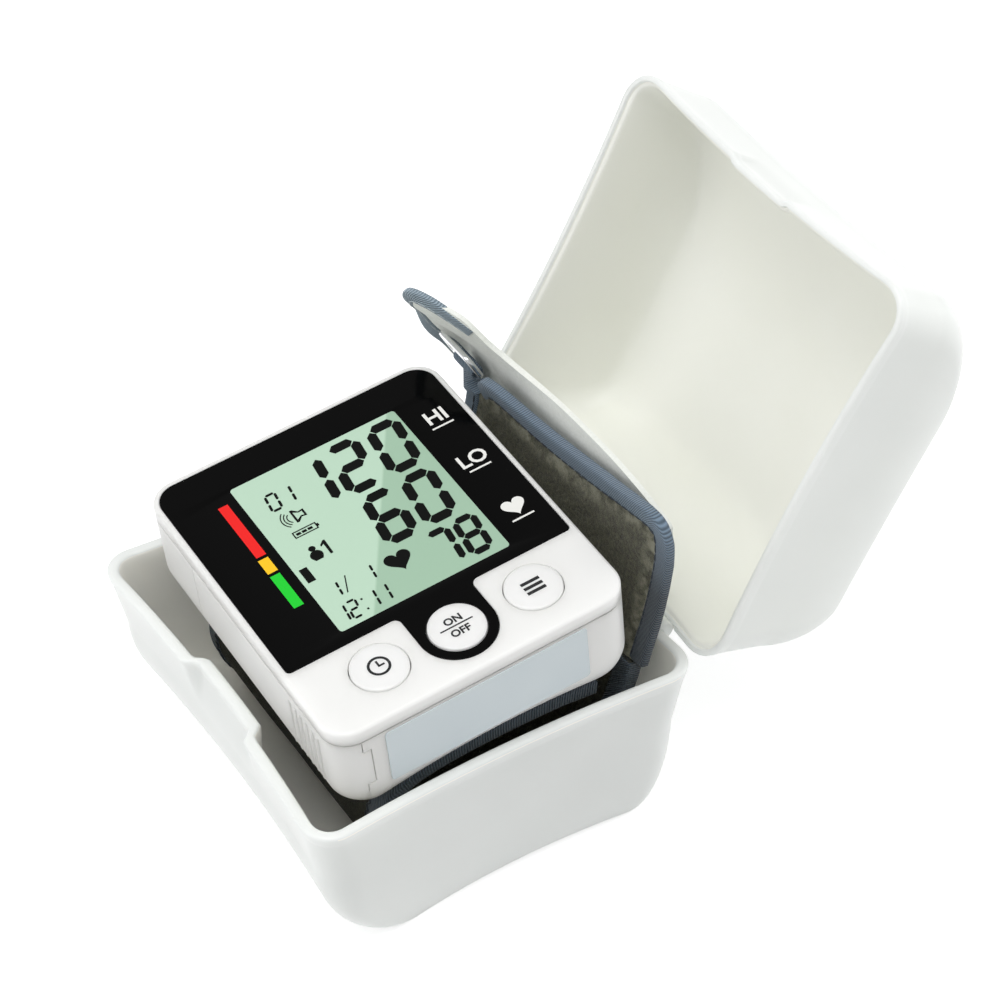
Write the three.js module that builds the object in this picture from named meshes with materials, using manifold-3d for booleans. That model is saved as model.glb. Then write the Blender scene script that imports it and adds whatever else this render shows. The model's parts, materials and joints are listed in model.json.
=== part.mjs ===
// A wrist blood pressure monitor lying on its rolled cuff in an open clamshell case.
// Millimetres, +Z up, +X towards the case's hinge. The origin is the centre of the case's rim,
// brought down to the surface that the case stands on.
import * as THREE from "three";
import { mergeVertices } from "three/addons/utils/BufferGeometryUtils.js";
import Module from "manifold-3d";

const wasm = await Module();
wasm.setup();

// Clearances and overruns that every piece shares
const gap = 0.3;
const overrun = 1;

// Monitor body, with its face at the top of its own frame
const bodyHalfX = 30.4;
const bodyHalfY = 35.75;
const bodyDepth = 21.3;
const bodyCorner = 5.5;
const bodySweepX = 5;
const bodySweepY = 1.5;
const bodySweepRise = 5.5;
const archRise = 2.2;
const archHalf = 25;
const housingWall = 1.6;
const partingDepth = 3.2;
const faceRound = 0.9;
const topPlate = 2;
const monitorX = -2.7;
const monitorY = -1.6;
const monitorAboveRim = 21.6;
const monitorTiltX = THREE.MathUtils.degToRad(0.95);
const monitorTiltY = THREE.MathUtils.degToRad(-5.7);
const monitorTurn = THREE.MathUtils.degToRad(-0.8);

// Case: one rim outline that both shells share, with room for the cuff round the body
const caseRoomX = 10.4;
const caseRoomY = 6.65;
const rimHalfX = bodyHalfX + caseRoomX;
const rimHalfY = bodyHalfY + caseRoomY;
const caseWall = 2.2;
const baseHeight = 37;
const baseCorner = 7;
const baseBow = 2.1;
const baseFrontDraft = 0.19;
const baseBackDraft = 0.2;
const baseSideDraft = 0.03;
const baseFrontSweep = 18.5;
const baseBackSweep = 7.6;
const baseSideSweep = 4.2;
const baseSweepRise = 23;

const lidHeight = 30.5;
const lidCorner = 8;
const lidBow = 1.9;
const lidWall = 1.8;
const lidFrontDraft = 0.14;
const lidBackDraft = 0.13;
const lidSideDraft = 0.05;
const lidFrontSweep = 31;
const lidBackSweep = 10.2;
const lidSideSweep = 4;
const lidSweepRise = 17;
const lidCrown = 6.8;
const lidOpening = THREE.MathUtils.degToRad(118.9);

// Thumb recess in the front rim, and the shallow one that answers it on the lid
const recessY = -1.4;
const recessHalf = 11.8;
const recessShoulder = 2.4;
const recessDeep = 2.3;
const recessTall = 12;
const lidRecessDeep = 0.6;

// Case hinge: two stations, each a base knuckle and a lid knuckle on one steel pin
const hingeOut = 0.35;
const hingeDrop = 1.46;
const knuckleRadius = 2.1;
const knuckleWidth = 6;
const hingeStationShare = 0.566;
const hingeStation = hingeStationShare * rimHalfY;
const pinRadius = 0.7;
const pinInset = 0.8;
const hingeArmRise = 5.5;

// Lens, display and buttons
const rimWidth = 1.1;
const lensThick = 1.05;
const lensSeat = 1.4;
const lensBorderY = -17.45;
const lensFootRound = 1;
const lensNeckRound = 1.4;
const startRing = 2.15;
const buttonRadius = 5.35;
const buttonPitch = 15.8;
const buttonRowX = 0.45;
const buttonRowY = -25.4;
const buttonProud = 0.3;
const buttonTravel = 0.6;
const buttonFlange = 0.9;
const buttonFlangeThick = 0.5;
const buttonStemRadius = 1.5;
const buttonStem = 0.2;
const lcdHalfX = 17.55;
const lcdHalfY = 20.85;
const lcdX = 0.7;
const lcdY = 6.25;
const lcdGlassBorder = 1.4;
const lcdGlassThick = 1.6;
const lcdHolderThick = 1;

// Circuit board and what it carries
const boardTop = 5.5;
const boardThick = 1.2;
const boardHalfX = 27;
const boardHalfY = 32.6;
const switchBody = 6;
const switchBodyTall = 1;
const switchPlungerRadius = 1.4;
const switchPlungerTall = 0.4;
const sensorSide = 8;
const sensorTall = 3.4;
const sensorX = 4.5;
const sensorY = 22;
const nozzleRadius = 1.1;
const nozzleTall = 1.8;
const buzzerRadius = 4.5;
const buzzerTall = 2.4;
const buzzerX = 19;
const buzzerY = -22;

// Air pump, valve and tube
const pumpRadius = 4.3;
const pumpLength = 15;
const pumpHead = 11;
const pumpHeadTall = 8.4;
const pumpHeadLength = 7;
const pumpX = 8;
const pumpY = -11;
const valveSide = 8;
const valveTall = 8.6;
const valveX = 19.5;
const valveY = 7;
const tubeRadius = 1.3;

// Battery bay: two AAA cells side by side along the body
const cellRadius = 5.25;
const cellLength = 44.5;
const cellCapRadius = 1.9;
const cellCapTall = 1;
const cellDepth = 12.35;
const cellPitch = 10.9;
const contactThick = 0.4;
const contactTall = 8;
const bayWall = 1.2;
const springRadius = 2.6;
const springWire = 0.35;
const springTurns = 3;
const springLength = 3.2;

// Battery door: the left side with its front corner, held by a tongue in the front wall
const doorLength = 53;
const doorWrap = 5.1;
const doorTongue = 1.6;
const doorTongueTop = 6;
const doorTongueFoot = 14.7;
const doorRibs = 6;
const doorRibPitch = 2;
const doorRibWide = 0.9;
const doorRibProud = 0.3;
const doorRibTop = 5.2;
const doorRibTall = 11;
const doorRibStart = 6.5;

// Screws that hold the two housings together
const bossRadius = 2.6;
const screwRadius = 1;
const screwHeadRadius = 1.9;
const screwHeadTall = 1.2;
const screwDepth = 15;
const screwTipDepth = 2.9;
const bossX = 24.3;
const bossFrontLeftX = 22.4;
const bossFrontLeftY = 31.8;
const bossY = 29.6;

// Rating plate on the front side
const plateHalf = 20.6;
const plateTop = 3.8;
const plateTall = 13;
const plateThick = 0.2;

// Cuff: a cover, a bladder and a lining rolled under the monitor, with a stiffening plate on top
const cuffHalfShare = 0.75;
const cuffHalf = cuffHalfShare * rimHalfY;
const cuffMiddleY = -2.7;
const coverThick = 1.1;
const bladderThick = 0.7;
const liningThick = 1;
const bladderMargin = 6;
const cuffPlateHalf = 13;
const cuffPlateHalfY = 24;
const cuffPlateThick = 0.9;

// Standing end of the cuff and the strap behind it, as heights above the rim. Both lean forward
// towards their far end, by more the higher they are.
const flapThick = 2.2;
const flapFoot = -0.1;
const flapTall = 33;
const flapInset = 4.8;
const flapReach = rimHalfX - flapInset;
const strapThick = 1.8;
const strapFoot = 12;
const strapTall = 42.2;
const strapPastCuff = 12.1;
const strapFar = cuffMiddleY + cuffHalf + strapPastCuff;
const strapShort = 3;
const strapNear = cuffHalf - cuffMiddleY - strapShort;
const strapInset = 1.4;
const strapBack = rimHalfX - strapInset;
const strapCurl = 13.7;
const strapCurlStart = 5;
const strapCurlRun = 34;
const strapCurlFrom = 21;
const strapCurlRise = 20;
const strapEdgeCurl = 5.2;
const strapEdgeFrom = 35.3;
const strapEdgeRun = 5.2;
const strapEdgeTop = 24;
const strapEdgeFade = 11;
const curl = 9;
const curlStart = -10;
const curlRun = 50;
const curlFrom = 16;
const curlRise = 26;

// Metal ring at the strap's edge, and the webbing tab that holds it
const ringWire = 0.5;
const ringHalf = 5.3;
const ringTall = 5.6;
const ringInset = 4.9;
const ringX = rimHalfX - ringInset;
const ringLean = 3;
const ringPastCuff = 1.9;
const ringY = cuffMiddleY + cuffHalf + ringPastCuff;
const ringFoot = 22;
const ringCorner = 1.4;
const tabThick = 0.6;
const tabHalf = 3.4;
const tabDrop = 9;

// Materials
const finish = (colour, roughness, metalness = 0) =>
  new THREE.MeshStandardMaterial({ color: colour, roughness, metalness });
const glossWhite = finish("#eff1ee", 0.25);
const satinWhite = finish("#e9e9e4", 0.4);
const blackLens = finish("#060606", 0.08);
const displayGlass = finish("#aac8b2", 0.25);
const holderGrey = finish("#b9bcbd", 0.6);
const boardGreen = finish("#1f6b3c", 0.55);
const switchBlack = finish("#1b1b1c", 0.5);
const steel = finish("#b8babd", 0.3, 1);
const chrome = finish("#d9dbdc", 0.1, 1);
const cellSleeve = finish("#3a5a86", 0.45);
const silicone = finish("#d8dcdc", 0.5);
const ratingFilm = finish("#c8d2d6", 0.45);
const oliveFelt = finish("#56574a", 1);
const greyFelt = finish("#b9beb6", 1);
const bladderGrey = finish("#33363a", 0.8);
const webbingSlate = finish("#5a6875", 0.9);

const part = new THREE.Group();

function addMesh(parent, name, geometry, material) {
  const mesh = new THREE.Mesh(geometry, material);
  mesh.name = name;
  parent.add(mesh);
  return mesh;
}

// A geometry as a solid, with its shared corners merged
function solidOf(geometry) {
  const bare = geometry.index ? geometry.toNonIndexed() : geometry.clone();
  for (const name of Object.keys(bare.attributes)) {
    if (name !== "position") bare.deleteAttribute(name);
  }
  const merged = mergeVertices(bare, 1e-4);
  return new wasm.Manifold(
    new wasm.Mesh({
      numProp: 3,
      vertProperties: new Float32Array(merged.attributes.position.array),
      triVerts: new Uint32Array(merged.index.array),
    }),
  );
}

function geometryOf(solid) {
  const mesh = solid.getMesh();
  const geometry = new THREE.BufferGeometry();
  geometry.setAttribute("position", new THREE.BufferAttribute(mesh.vertProperties, 3));
  geometry.setIndex(new THREE.BufferAttribute(mesh.triVerts, 1));
  geometry.computeVertexNormals();
  return geometry;
}

// Joins some geometries to the first one and cuts others from the result
function shape(first, { join = [], cut = [] }) {
  let solid = solidOf(first);
  for (const piece of join) solid = solid.add(solidOf(piece));
  for (const piece of cut) solid = solid.subtract(solidOf(piece));
  return geometryOf(solid);
}

// A closed skin over rings of points that all have the same count. The first and last rings are
// closed by a fan round their middle, or joined to each other where the skin is a loop.
function skin(rings, loop = false) {
  const count = rings[0].length;
  const points = rings.flat();
  const faces = [];
  const last = loop ? rings.length : rings.length - 1;
  for (let i = 0; i < last; i++) {
    const low = i * count;
    const high = ((i + 1) % rings.length) * count;
    for (let j = 0; j < count; j++) {
      const next = (j + 1) % count;
      faces.push(low + j, low + next, high + next);
      faces.push(low + j, high + next, high + j);
    }
  }
  if (!loop) {
    for (const [start, turn] of [
      [0, true],
      [(rings.length - 1) * count, false],
    ]) {
      const middle = new THREE.Vector3();
      for (let j = 0; j < count; j++) middle.add(points[start + j]);
      points.push(middle.divideScalar(count));
      const hub = points.length - 1;
      for (let j = 0; j < count; j++) {
        const a = start + j;
        const b = start + ((j + 1) % count);
        faces.push(...(turn ? [hub, b, a] : [hub, a, b]));
      }
    }
  }
  const geometry = new THREE.BufferGeometry();
  geometry.setAttribute(
    "position",
    new THREE.Float32BufferAttribute(points.flatMap((p) => [p.x, p.y, p.z]), 3),
  );
  geometry.setIndex(faces);
  geometry.computeVertexNormals();
  return geometry;
}

// A box between two corners
function block(low, high) {
  const size = new THREE.Vector3().subVectors(high, low);
  const middle = new THREE.Vector3().addVectors(low, high).multiplyScalar(0.5);
  return new THREE.BoxGeometry(size.x, size.y, size.z).translate(middle.x, middle.y, middle.z);
}

function vec(x, y, z) {
  return new THREE.Vector3(x, y, z);
}

// A cylinder along Z between two heights
function post(x, y, low, high, radius, sides = 20) {
  return new THREE.CylinderGeometry(radius, radius, high - low, sides)
    .rotateX(Math.PI / 2)
    .translate(x, y, (low + high) / 2);
}

// A cylinder along Y between two places
function bar(x, z, from, to, radius, sides = 16) {
  return new THREE.CylinderGeometry(radius, radius, to - from, sides).translate(x, (from + to) / 2, z);
}

// An outline in the XZ plane, carried along Y between two places
function carriedAlongY(outline, from, to) {
  return new THREE.ExtrudeGeometry(outline, { depth: to - from, bevelEnabled: false, curveSegments: 6 })
    .rotateX(Math.PI / 2)
    .translate(0, to, 0);
}

// Case shells
// Points round a rounded rectangle, anticlockwise from the +X side. Each side has its own stops, so
// that the thumb recess gets points at its shoulders, and the sides draw in by the bow halfway along.
const cornerSteps = 6;
const sideStops = [-recessHalf, recessShoulder - recessHalf, 0, recessHalf - recessShoulder, recessHalf];
const endStopShares = [-0.5, 0, 0.5];

function rimOutline(halfX, halfY, corner, bow, middleY) {
  const points = [];
  const addCorner = (cx, cy, start) => {
    for (let i = 0; i <= cornerSteps; i++) {
      const angle = start + (i / cornerSteps) * (Math.PI / 2);
      points.push([cx + corner * Math.cos(angle), cy + corner * Math.sin(angle)]);
    }
  };
  for (const y of sideStops) points.push([halfX, y]);
  addCorner(halfX - corner, halfY - corner, 0);
  for (const share of endStopShares) points.push([-share * (halfX - corner), halfY]);
  addCorner(corner - halfX, halfY - corner, Math.PI / 2);
  for (const y of sideStops) points.push([-halfX, middleY - y]);
  addCorner(corner - halfX, corner - halfY, Math.PI);
  for (const share of endStopShares) points.push([share * (halfX - corner), -halfY]);
  addCorner(halfX - corner, corner - halfY, -Math.PI / 2);
  return points.map(([x, y]) => [
    x * (1 - (bow / halfX) * (1 - (y / halfY) ** 2)),
    y * (1 - (bow / halfY) * (1 - (x / halfX) ** 2)),
  ]);
}

function smooth(share) {
  const t = Math.min(Math.max(share, 0), 1);
  return t * t * (3 - 2 * t);
}

// One shell of the case, rim at height zero and bottom below it. Its walls draft in, then sweep
// round into the bottom along quarter ellipses that are wider at the front than at the back.
function caseShell(s) {
  const wallDepth = s.height - s.rise;
  const ring = (depth, sweep, inset) => {
    const drafted = Math.min(depth, wallDepth);
    const front = s.frontDraft * drafted + s.frontSweep * sweep + inset;
    const back = s.backDraft * drafted + s.backSweep * sweep + inset;
    const side = s.sideDraft * drafted + s.sideSweep * sweep + inset;
    const halfX = rimHalfX - (front + back) / 2;
    const corner = Math.max(s.corner - inset, overrun) * (1 - sweep / 2);
    const recess = s.recessDeep * (1 - smooth(depth / recessTall));
    const bow = s.bow * (1 - s.bowFadeShare * smooth(depth / s.height));
    return rimOutline(halfX, rimHalfY - side, corner, bow, s.recessY).map(([x, y]) => {
      const pressed = x < 0 ? smooth((recessHalf - Math.abs(y - s.recessY)) / recessShoulder) : 0;
      const crown = s.crown * smooth(sweep) * (1 - (x / rimHalfX) ** 2) * (1 - (y / rimHalfY) ** 2);
      return vec(x + (front - back) / 2 + recess * pressed, y, -depth - crown);
    });
  };
  const surface = (inset, floor) => {
    const rings = [];
    const wallStopShares = [0, 0.35, 1];
    for (const share of wallStopShares) rings.push(ring(share * wallDepth, 0, inset));
    const sweepSteps = 6;
    const rise = s.rise - floor;
    for (let i = 1; i <= sweepSteps; i++) {
      const angle = (i / sweepSteps) * (Math.PI / 2);
      rings.push(ring(wallDepth + rise * Math.sin(angle), 1 - Math.cos(angle), inset));
    }
    const edge = rings[rings.length - 1];
    const middle = edge.reduce((sum, p) => sum.add(p), vec(0, 0, 0)).divideScalar(edge.length);
    for (const share of s.crownShares) {
      rings.push(
        edge.map((p) => {
          const x = middle.x + (p.x - middle.x) * share;
          const y = p.y * share;
          const crown = s.crown * (1 - (x / rimHalfX) ** 2) * (1 - (y / rimHalfY) ** 2);
          return vec(x, y, -(s.height - floor) - crown);
        }),
      );
    }
    return rings;
  };
  return skin([...surface(0, 0).reverse(), ...surface(s.wall, s.wall)]);
}

const baseShell = caseShell({
  wall: caseWall,
  height: baseHeight,
  rise: baseSweepRise,
  corner: baseCorner,
  bow: baseBow,
  frontDraft: baseFrontDraft,
  backDraft: baseBackDraft,
  sideDraft: baseSideDraft,
  frontSweep: baseFrontSweep,
  backSweep: baseBackSweep,
  sideSweep: baseSideSweep,
  recessDeep,
  recessY,
  bowFadeShare: 0,
  crown: 0,
  crownShares: [],
});
const lidShell = caseShell({
  wall: lidWall,
  height: lidHeight,
  rise: lidSweepRise,
  corner: lidCorner,
  bow: lidBow,
  frontDraft: lidFrontDraft,
  backDraft: lidBackDraft,
  sideDraft: lidSideDraft,
  frontSweep: lidFrontSweep,
  backSweep: lidBackSweep,
  sideSweep: lidSideSweep,
  recessDeep: lidRecessDeep,
  recessY: -recessY,
  bowFadeShare: 0.7,
  crown: lidCrown,
  crownShares: [0.66, 0.33],
}).rotateX(Math.PI);

// The hinge axis lies just outside the back wall and a little below the rim
const hingeX = rimHalfX - hingeOut;
const hingeZ = baseHeight - hingeDrop;
const wallAtHinge = rimHalfX - baseBow * (1 - (hingeStation / rimHalfY) ** 2);
const knuckleBore = pinRadius + gap;
const notchRadius = knuckleRadius + gap;
const knuckleSplit = gap / 2;

// Both stations' blocks or bars, each given from the station's inner end to its outer end
function bothStations(make, inner, outer) {
  const near = hingeStation + inner;
  const far = hingeStation + outer;
  return [make(near, far), make(-far, -near)];
}

const atHinge = (radius) => (from, to) => bar(hingeX, hingeZ, from, to, radius);
const baseKnuckles = bothStations(atHinge(knuckleRadius), knuckleSplit, knuckleWidth);
const lidKnuckles = bothStations(atHinge(knuckleRadius), -knuckleWidth, -knuckleSplit);
const baseWebs = bothStations(
  (from, to) =>
    block(
      vec(wallAtHinge - caseWall / 2, from, hingeZ - 2 * knuckleRadius),
      vec(hingeX, to, hingeZ),
    ),
  knuckleSplit,
  knuckleWidth,
);
const armOutline = new THREE.Shape([
  new THREE.Vector2(hingeX + knuckleRadius, hingeZ),
  new THREE.Vector2(hingeX + knuckleRadius, baseHeight + hingeArmRise / 2),
  new THREE.Vector2(wallAtHinge - caseWall / 2, baseHeight + hingeArmRise),
  new THREE.Vector2(wallAtHinge - caseWall / 2, baseHeight + gap),
  new THREE.Vector2(wallAtHinge + 2 * gap, baseHeight + gap),
  new THREE.Vector2(wallAtHinge + 2 * gap, hingeZ),
]);
const lidArms = bothStations(
  (from, to) => carriedAlongY(armOutline, from, to),
  -knuckleWidth,
  -knuckleSplit,
);
const bores = bothStations(atHinge(knuckleBore), -knuckleWidth - overrun, knuckleWidth + overrun);

const caseBase = shape(baseShell.translate(0, 0, baseHeight), {
  join: [...baseWebs, ...baseKnuckles],
  cut: [
    ...bothStations(atHinge(notchRadius), -knuckleWidth - gap, knuckleSplit),
    ...bores,
  ],
});
addMesh(part, "case_base", caseBase, glossWhite);

const lid = new THREE.Group();
lid.position.set(hingeX, 0, hingeZ);
lid.rotation.y = lidOpening;
part.add(lid);
const caseLid = shape(
  shape(lidShell.translate(0, 0, baseHeight + gap), {
    cut: bothStations(atHinge(notchRadius), -knuckleSplit, knuckleWidth + gap),
  }),
  { join: [...lidArms, ...lidKnuckles], cut: bores },
);
addMesh(lid, "case_lid", caseLid.translate(-hingeX, 0, -hingeZ), glossWhite);
const pins = bothStations(atHinge(pinRadius), pinInset - knuckleWidth, knuckleWidth - pinInset);
["hinge_pin_far", "hinge_pin_near"].forEach((name, i) => addMesh(part, name, pins[i], steel));

// Monitor
const monitor = new THREE.Group();
monitor.position.set(monitorX, monitorY, baseHeight + monitorAboveRim);
monitor.rotation.set(monitorTiltX, monitorTiltY, monitorTurn, "ZYX");
part.add(monitor);

// Rise of the underside's arch at a place across the body
function arch(x) {
  return archRise * Math.max(1 - (x / archHalf) ** 2, 0);
}

// Points round a rounded rectangle with straight sides
function bodyOutline(halfX, halfY, corner) {
  const points = [];
  const stopShares = [-0.5, 0, 0.5];
  const addCorner = (cx, cy, start) => {
    for (let i = 0; i <= cornerSteps; i++) {
      const angle = start + (i / cornerSteps) * (Math.PI / 2);
      points.push([cx + corner * Math.cos(angle), cy + corner * Math.sin(angle)]);
    }
  };
  addCorner(halfX - corner, halfY - corner, 0);
  for (const share of stopShares) points.push([-share * (halfX - corner), halfY]);
  addCorner(corner - halfX, halfY - corner, Math.PI / 2);
  addCorner(corner - halfX, corner - halfY, Math.PI);
  for (const share of stopShares) points.push([share * (halfX - corner), -halfY]);
  addCorner(halfX - corner, corner - halfY, -Math.PI / 2);
  return points;
}

// Front housing: a face with a soft edge, open to the lens, the display and the buttons
const facePoint = (inset, depth) =>
  bodyOutline(bodyHalfX - inset, bodyHalfY - inset, bodyCorner - inset).map(([x, y]) => vec(x, y, -depth));
const roundSteps = 3;
const faceRings = [facePoint(housingWall, topPlate), facePoint(housingWall, partingDepth)];
faceRings.push(facePoint(0, partingDepth));
for (let i = 0; i <= roundSteps; i++) {
  const angle = (i / roundSteps) * (Math.PI / 2);
  faceRings.push(facePoint(faceRound * (1 - Math.cos(angle)), faceRound * (1 - Math.sin(angle))));
}

// The lens's outline: a rounded panel whose lower edge drops round the start button
function lensOutline(grow) {
  const halfX = bodyHalfX - rimWidth - gap / 2 + grow;
  const top = bodyHalfY - rimWidth - gap / 2 + grow;
  const foot = lensBorderY - grow;
  const corner = bodyCorner - rimWidth;
  const ring = buttonRadius + startRing + grow;
  const outline = new THREE.Shape();
  outline.moveTo(halfX - corner, top);
  outline.absarc(corner - halfX, top - corner, corner, Math.PI / 2, Math.PI, false);
  outline.absarc(lensFootRound - halfX, foot + lensFootRound, lensFootRound, Math.PI, 1.5 * Math.PI, false);
  outline.absarc(buttonRowX - ring - lensNeckRound, foot - lensNeckRound, lensNeckRound, Math.PI / 2, 0, true);
  outline.absarc(buttonRowX, buttonRowY, ring, Math.PI, 2 * Math.PI, false);
  outline.absarc(buttonRowX + ring + lensNeckRound, foot - lensNeckRound, lensNeckRound, Math.PI, Math.PI / 2, true);
  outline.absarc(halfX - lensFootRound, foot + lensFootRound, lensFootRound, 1.5 * Math.PI, 2 * Math.PI, false);
  outline.absarc(halfX - corner, top - corner, corner, 0, Math.PI / 2, false);
  return outline;
}

function plateOf(outline, thick, top, segments = 8) {
  return new THREE.ExtrudeGeometry(outline, {
    depth: thick,
    bevelEnabled: false,
    curveSegments: segments,
  }).translate(0, 0, top - thick);
}

const buttonX = [-1, 0, 1].map((step) => buttonRowX + step * buttonPitch);
const holeRadius = buttonRadius + gap;
const bossPlaces = [
  [-bossFrontLeftX, -bossFrontLeftY],
  [bossX, -bossY],
  [-bossX, bossY],
  [bossX, bossY],
];
const frontHousing = shape(skin(faceRings), {
  join: bossPlaces.map(([x, y]) => post(x, y, -partingDepth, overrun / 2 - topPlate, bossRadius)),
  cut: [
    plateOf(lensOutline(gap / 2), lensSeat + overrun, overrun),
    block(
      vec(lcdX - lcdHalfX, lcdY - lcdHalfY, -topPlate - overrun),
      vec(lcdX + lcdHalfX, lcdY + lcdHalfY, overrun),
    ),
    ...buttonX.map((x) => post(x, buttonRowY, -topPlate - overrun, overrun, holeRadius, 28)),
    ...bossPlaces.map(([x, y]) => post(x, y, -partingDepth - overrun, gap - screwTipDepth, screwRadius + gap, 12)),
  ],
});
addMesh(monitor, "front_housing", frontHousing, glossWhite);

const lens = shape(plateOf(lensOutline(-gap / 2), lensThick, 0), {
  cut: [post(buttonX[1], buttonRowY, -lensThick - overrun, overrun, holeRadius, 28)],
});
addMesh(monitor, "lens_window", lens, blackLens);

const underPlate = -topPlate - gap;
addMesh(
  monitor,
  "lcd_glass",
  block(
    vec(lcdX - lcdHalfX - lcdGlassBorder, lcdY - lcdHalfY - lcdGlassBorder, underPlate - lcdGlassThick),
    vec(lcdX + lcdHalfX + lcdGlassBorder, lcdY + lcdHalfY + lcdGlassBorder, underPlate),
  ),
  displayGlass,
);
const holderTop = underPlate - lcdGlassThick - gap;
const holderFoot = holderTop - lcdHolderThick;
const holderBody = block(
  vec(lcdX - lcdHalfX, lcdY - lcdHalfY, holderFoot),
  vec(lcdX + lcdHalfX, lcdY + lcdHalfY, holderTop),
);
const holderWindow = block(
  vec(lcdX - lcdHalfX + 2 * lcdGlassBorder, lcdY - lcdHalfY + 2 * lcdGlassBorder, holderFoot - overrun),
  vec(lcdX + lcdHalfX - 2 * lcdGlassBorder, lcdY + lcdHalfY - 2 * lcdGlassBorder, holderTop + overrun),
);
addMesh(monitor, "lcd_holder", shape(holderBody, { cut: [holderWindow] }), holderGrey);

// Buttons: a shallow dome on a flange that the face holds down, with a stem over its switch
const flangeTop = topPlate + gap;
const flangeFoot = flangeTop + buttonFlangeThick;
const stemFoot = flangeFoot + buttonStem;
const buttonProfile = [
  [0, -stemFoot],
  [buttonStemRadius, -stemFoot],
  [buttonStemRadius, -flangeFoot],
  [buttonRadius + buttonFlange, -flangeFoot],
  [buttonRadius + buttonFlange, -flangeTop],
  [buttonRadius, -flangeTop],
  [buttonRadius, buttonProud / 3],
  [buttonRadius - buttonProud, buttonProud],
  [buttonRadius / 2, buttonProud * 1.2],
  [0, buttonProud * 1.25],
].map(([r, z]) => new THREE.Vector2(r, z));
const switchFoot = gap - boardTop;
const switchTop = switchFoot + switchBodyTall;
["set", "start", "memory"].forEach((name, i) => {
  const cap = new THREE.LatheGeometry(buttonProfile, 28).rotateX(Math.PI / 2);
  addMesh(monitor, name + "_button", cap.translate(buttonX[i], buttonRowY, 0), satinWhite);
  const body = block(
    vec(buttonX[i] - switchBody / 2, buttonRowY - switchBody / 2, switchFoot),
    vec(buttonX[i] + switchBody / 2, buttonRowY + switchBody / 2, switchTop),
  );
  const plunger = post(
    buttonX[i],
    buttonRowY,
    switchTop - switchBodyTall / 2,
    switchTop + switchPlungerTall,
    switchPlungerRadius,
    12,
  );
  addMesh(monitor, name + "_switch", shape(body, { join: [plunger] }), switchBlack);
});

// Circuit board, notched round the screw bosses
const boardFoot = -boardTop - boardThick;
const boardNotch = bossRadius + 2 * gap;
const board = shape(
  block(vec(-boardHalfX, -boardHalfY, boardFoot), vec(boardHalfX, boardHalfY, -boardTop)),
  {
    cut: bossPlaces.map(([x, y]) =>
      block(
        vec(x - boardNotch, y - boardNotch, boardFoot - overrun),
        vec(x + boardNotch, y + boardNotch, overrun - boardTop),
      ),
    ),
  },
);
addMesh(monitor, "circuit_board", board, boardGreen);

// Rear housing: side walls that turn in to an arched underside
function rearSurface(inset, mouth) {
  const rings = [];
  const corner = bodyCorner - inset;
  const wallDepth = bodyDepth - bodySweepRise;
  const ring = (depth, sweep) =>
    bodyOutline(
      bodyHalfX - inset - bodySweepX * sweep,
      bodyHalfY - inset - bodySweepY * sweep,
      corner,
    ).map(([x, y]) => vec(x, y, -depth + arch(x) * smooth((depth - wallDepth) / (bodySweepRise - inset))));
  for (const depth of [mouth, wallDepth]) rings.push(ring(depth, 0));
  const sweepSteps = 5;
  for (let i = 1; i <= sweepSteps; i++) {
    const angle = (i / sweepSteps) * (Math.PI / 2);
    const depth = wallDepth + (bodySweepRise - inset) * Math.sin(angle);
    rings.push(ring(depth, 1 - Math.cos(angle)));
  }
  const edge = rings[rings.length - 1];
  const floorShares = [0.8, 0.55, 0.3];
  for (const share of floorShares) {
    rings.push(edge.map((p) => vec(p.x * share, p.y * share, inset - bodyDepth + arch(p.x * share))));
  }
  return rings;
}

const partingMouth = partingDepth + gap;
const rearShell = skin([
  ...rearSurface(0, partingMouth).reverse(),
  ...rearSurface(housingWall, partingMouth),
]);

// The door takes the left side and its front corner, with a tongue that reaches into the front wall
const doorEndY = doorLength - bodyHalfY;
const doorEdgeX = doorWrap - bodyHalfX;
function doorRegion(grow) {
  const side = block(
    vec(-bodyHalfX - overrun, -bodyHalfY - overrun, -bodyDepth - overrun),
    vec(doorEdgeX + grow, doorEndY + grow, overrun),
  );
  const tongue = block(
    vec(doorEdgeX - overrun, -bodyHalfY - overrun, -doorTongueFoot - grow),
    vec(doorEdgeX + doorTongue + grow, housingWall - bodyHalfY + grow, grow - doorTongueTop),
  );
  return shape(side, { join: [tongue] });
}

const doorShell = geometryOf(solidOf(rearShell).intersect(solidOf(doorRegion(0))));
const ribs = [];
for (let i = 0; i < doorRibs; i++) {
  const y = doorRibStart - bodyHalfY + i * doorRibPitch;
  ribs.push(
    block(
      vec(-bodyHalfX - doorRibProud, y, -doorRibTop - doorRibTall),
      vec(-bodyHalfX + housingWall / 2, y + doorRibWide, -doorRibTop),
    ),
  );
}
addMesh(monitor, "battery_door", shape(doorShell, { join: ribs }), satinWhite);

// Battery bay walls and screw bosses stand on the housing's floor
const cellX = [0, 1].map((i) => housingWall + 2 * gap + cellRadius - bodyHalfX + i * cellPitch);
const bayEndX = cellX[1] + cellRadius + gap;
const bayEndY = cellLength / 2 + cellCapTall / 2 + springLength / 2 + contactThick + gap;
const bayTop = boardFoot - gap;
const floorAt = (x) => housingWall / 2 - bodyDepth + arch(x);
const bayWalls = [
  block(vec(bayEndX, -bayEndY, floorAt(bayEndX)), vec(bayEndX + bayWall, bayEndY, bayTop)),
];
for (const side of [-1, 1]) {
  const near = side * bayEndY;
  const far = side * (bayEndY + bayWall);
  bayWalls.push(
    block(
      vec(doorEdgeX + 2 * gap, Math.min(near, far), floorAt(bayEndX)),
      vec(bayEndX + bayWall, Math.max(near, far), bayTop),
    ),
  );
}
const headSeat = screwDepth + screwHeadTall;
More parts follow.
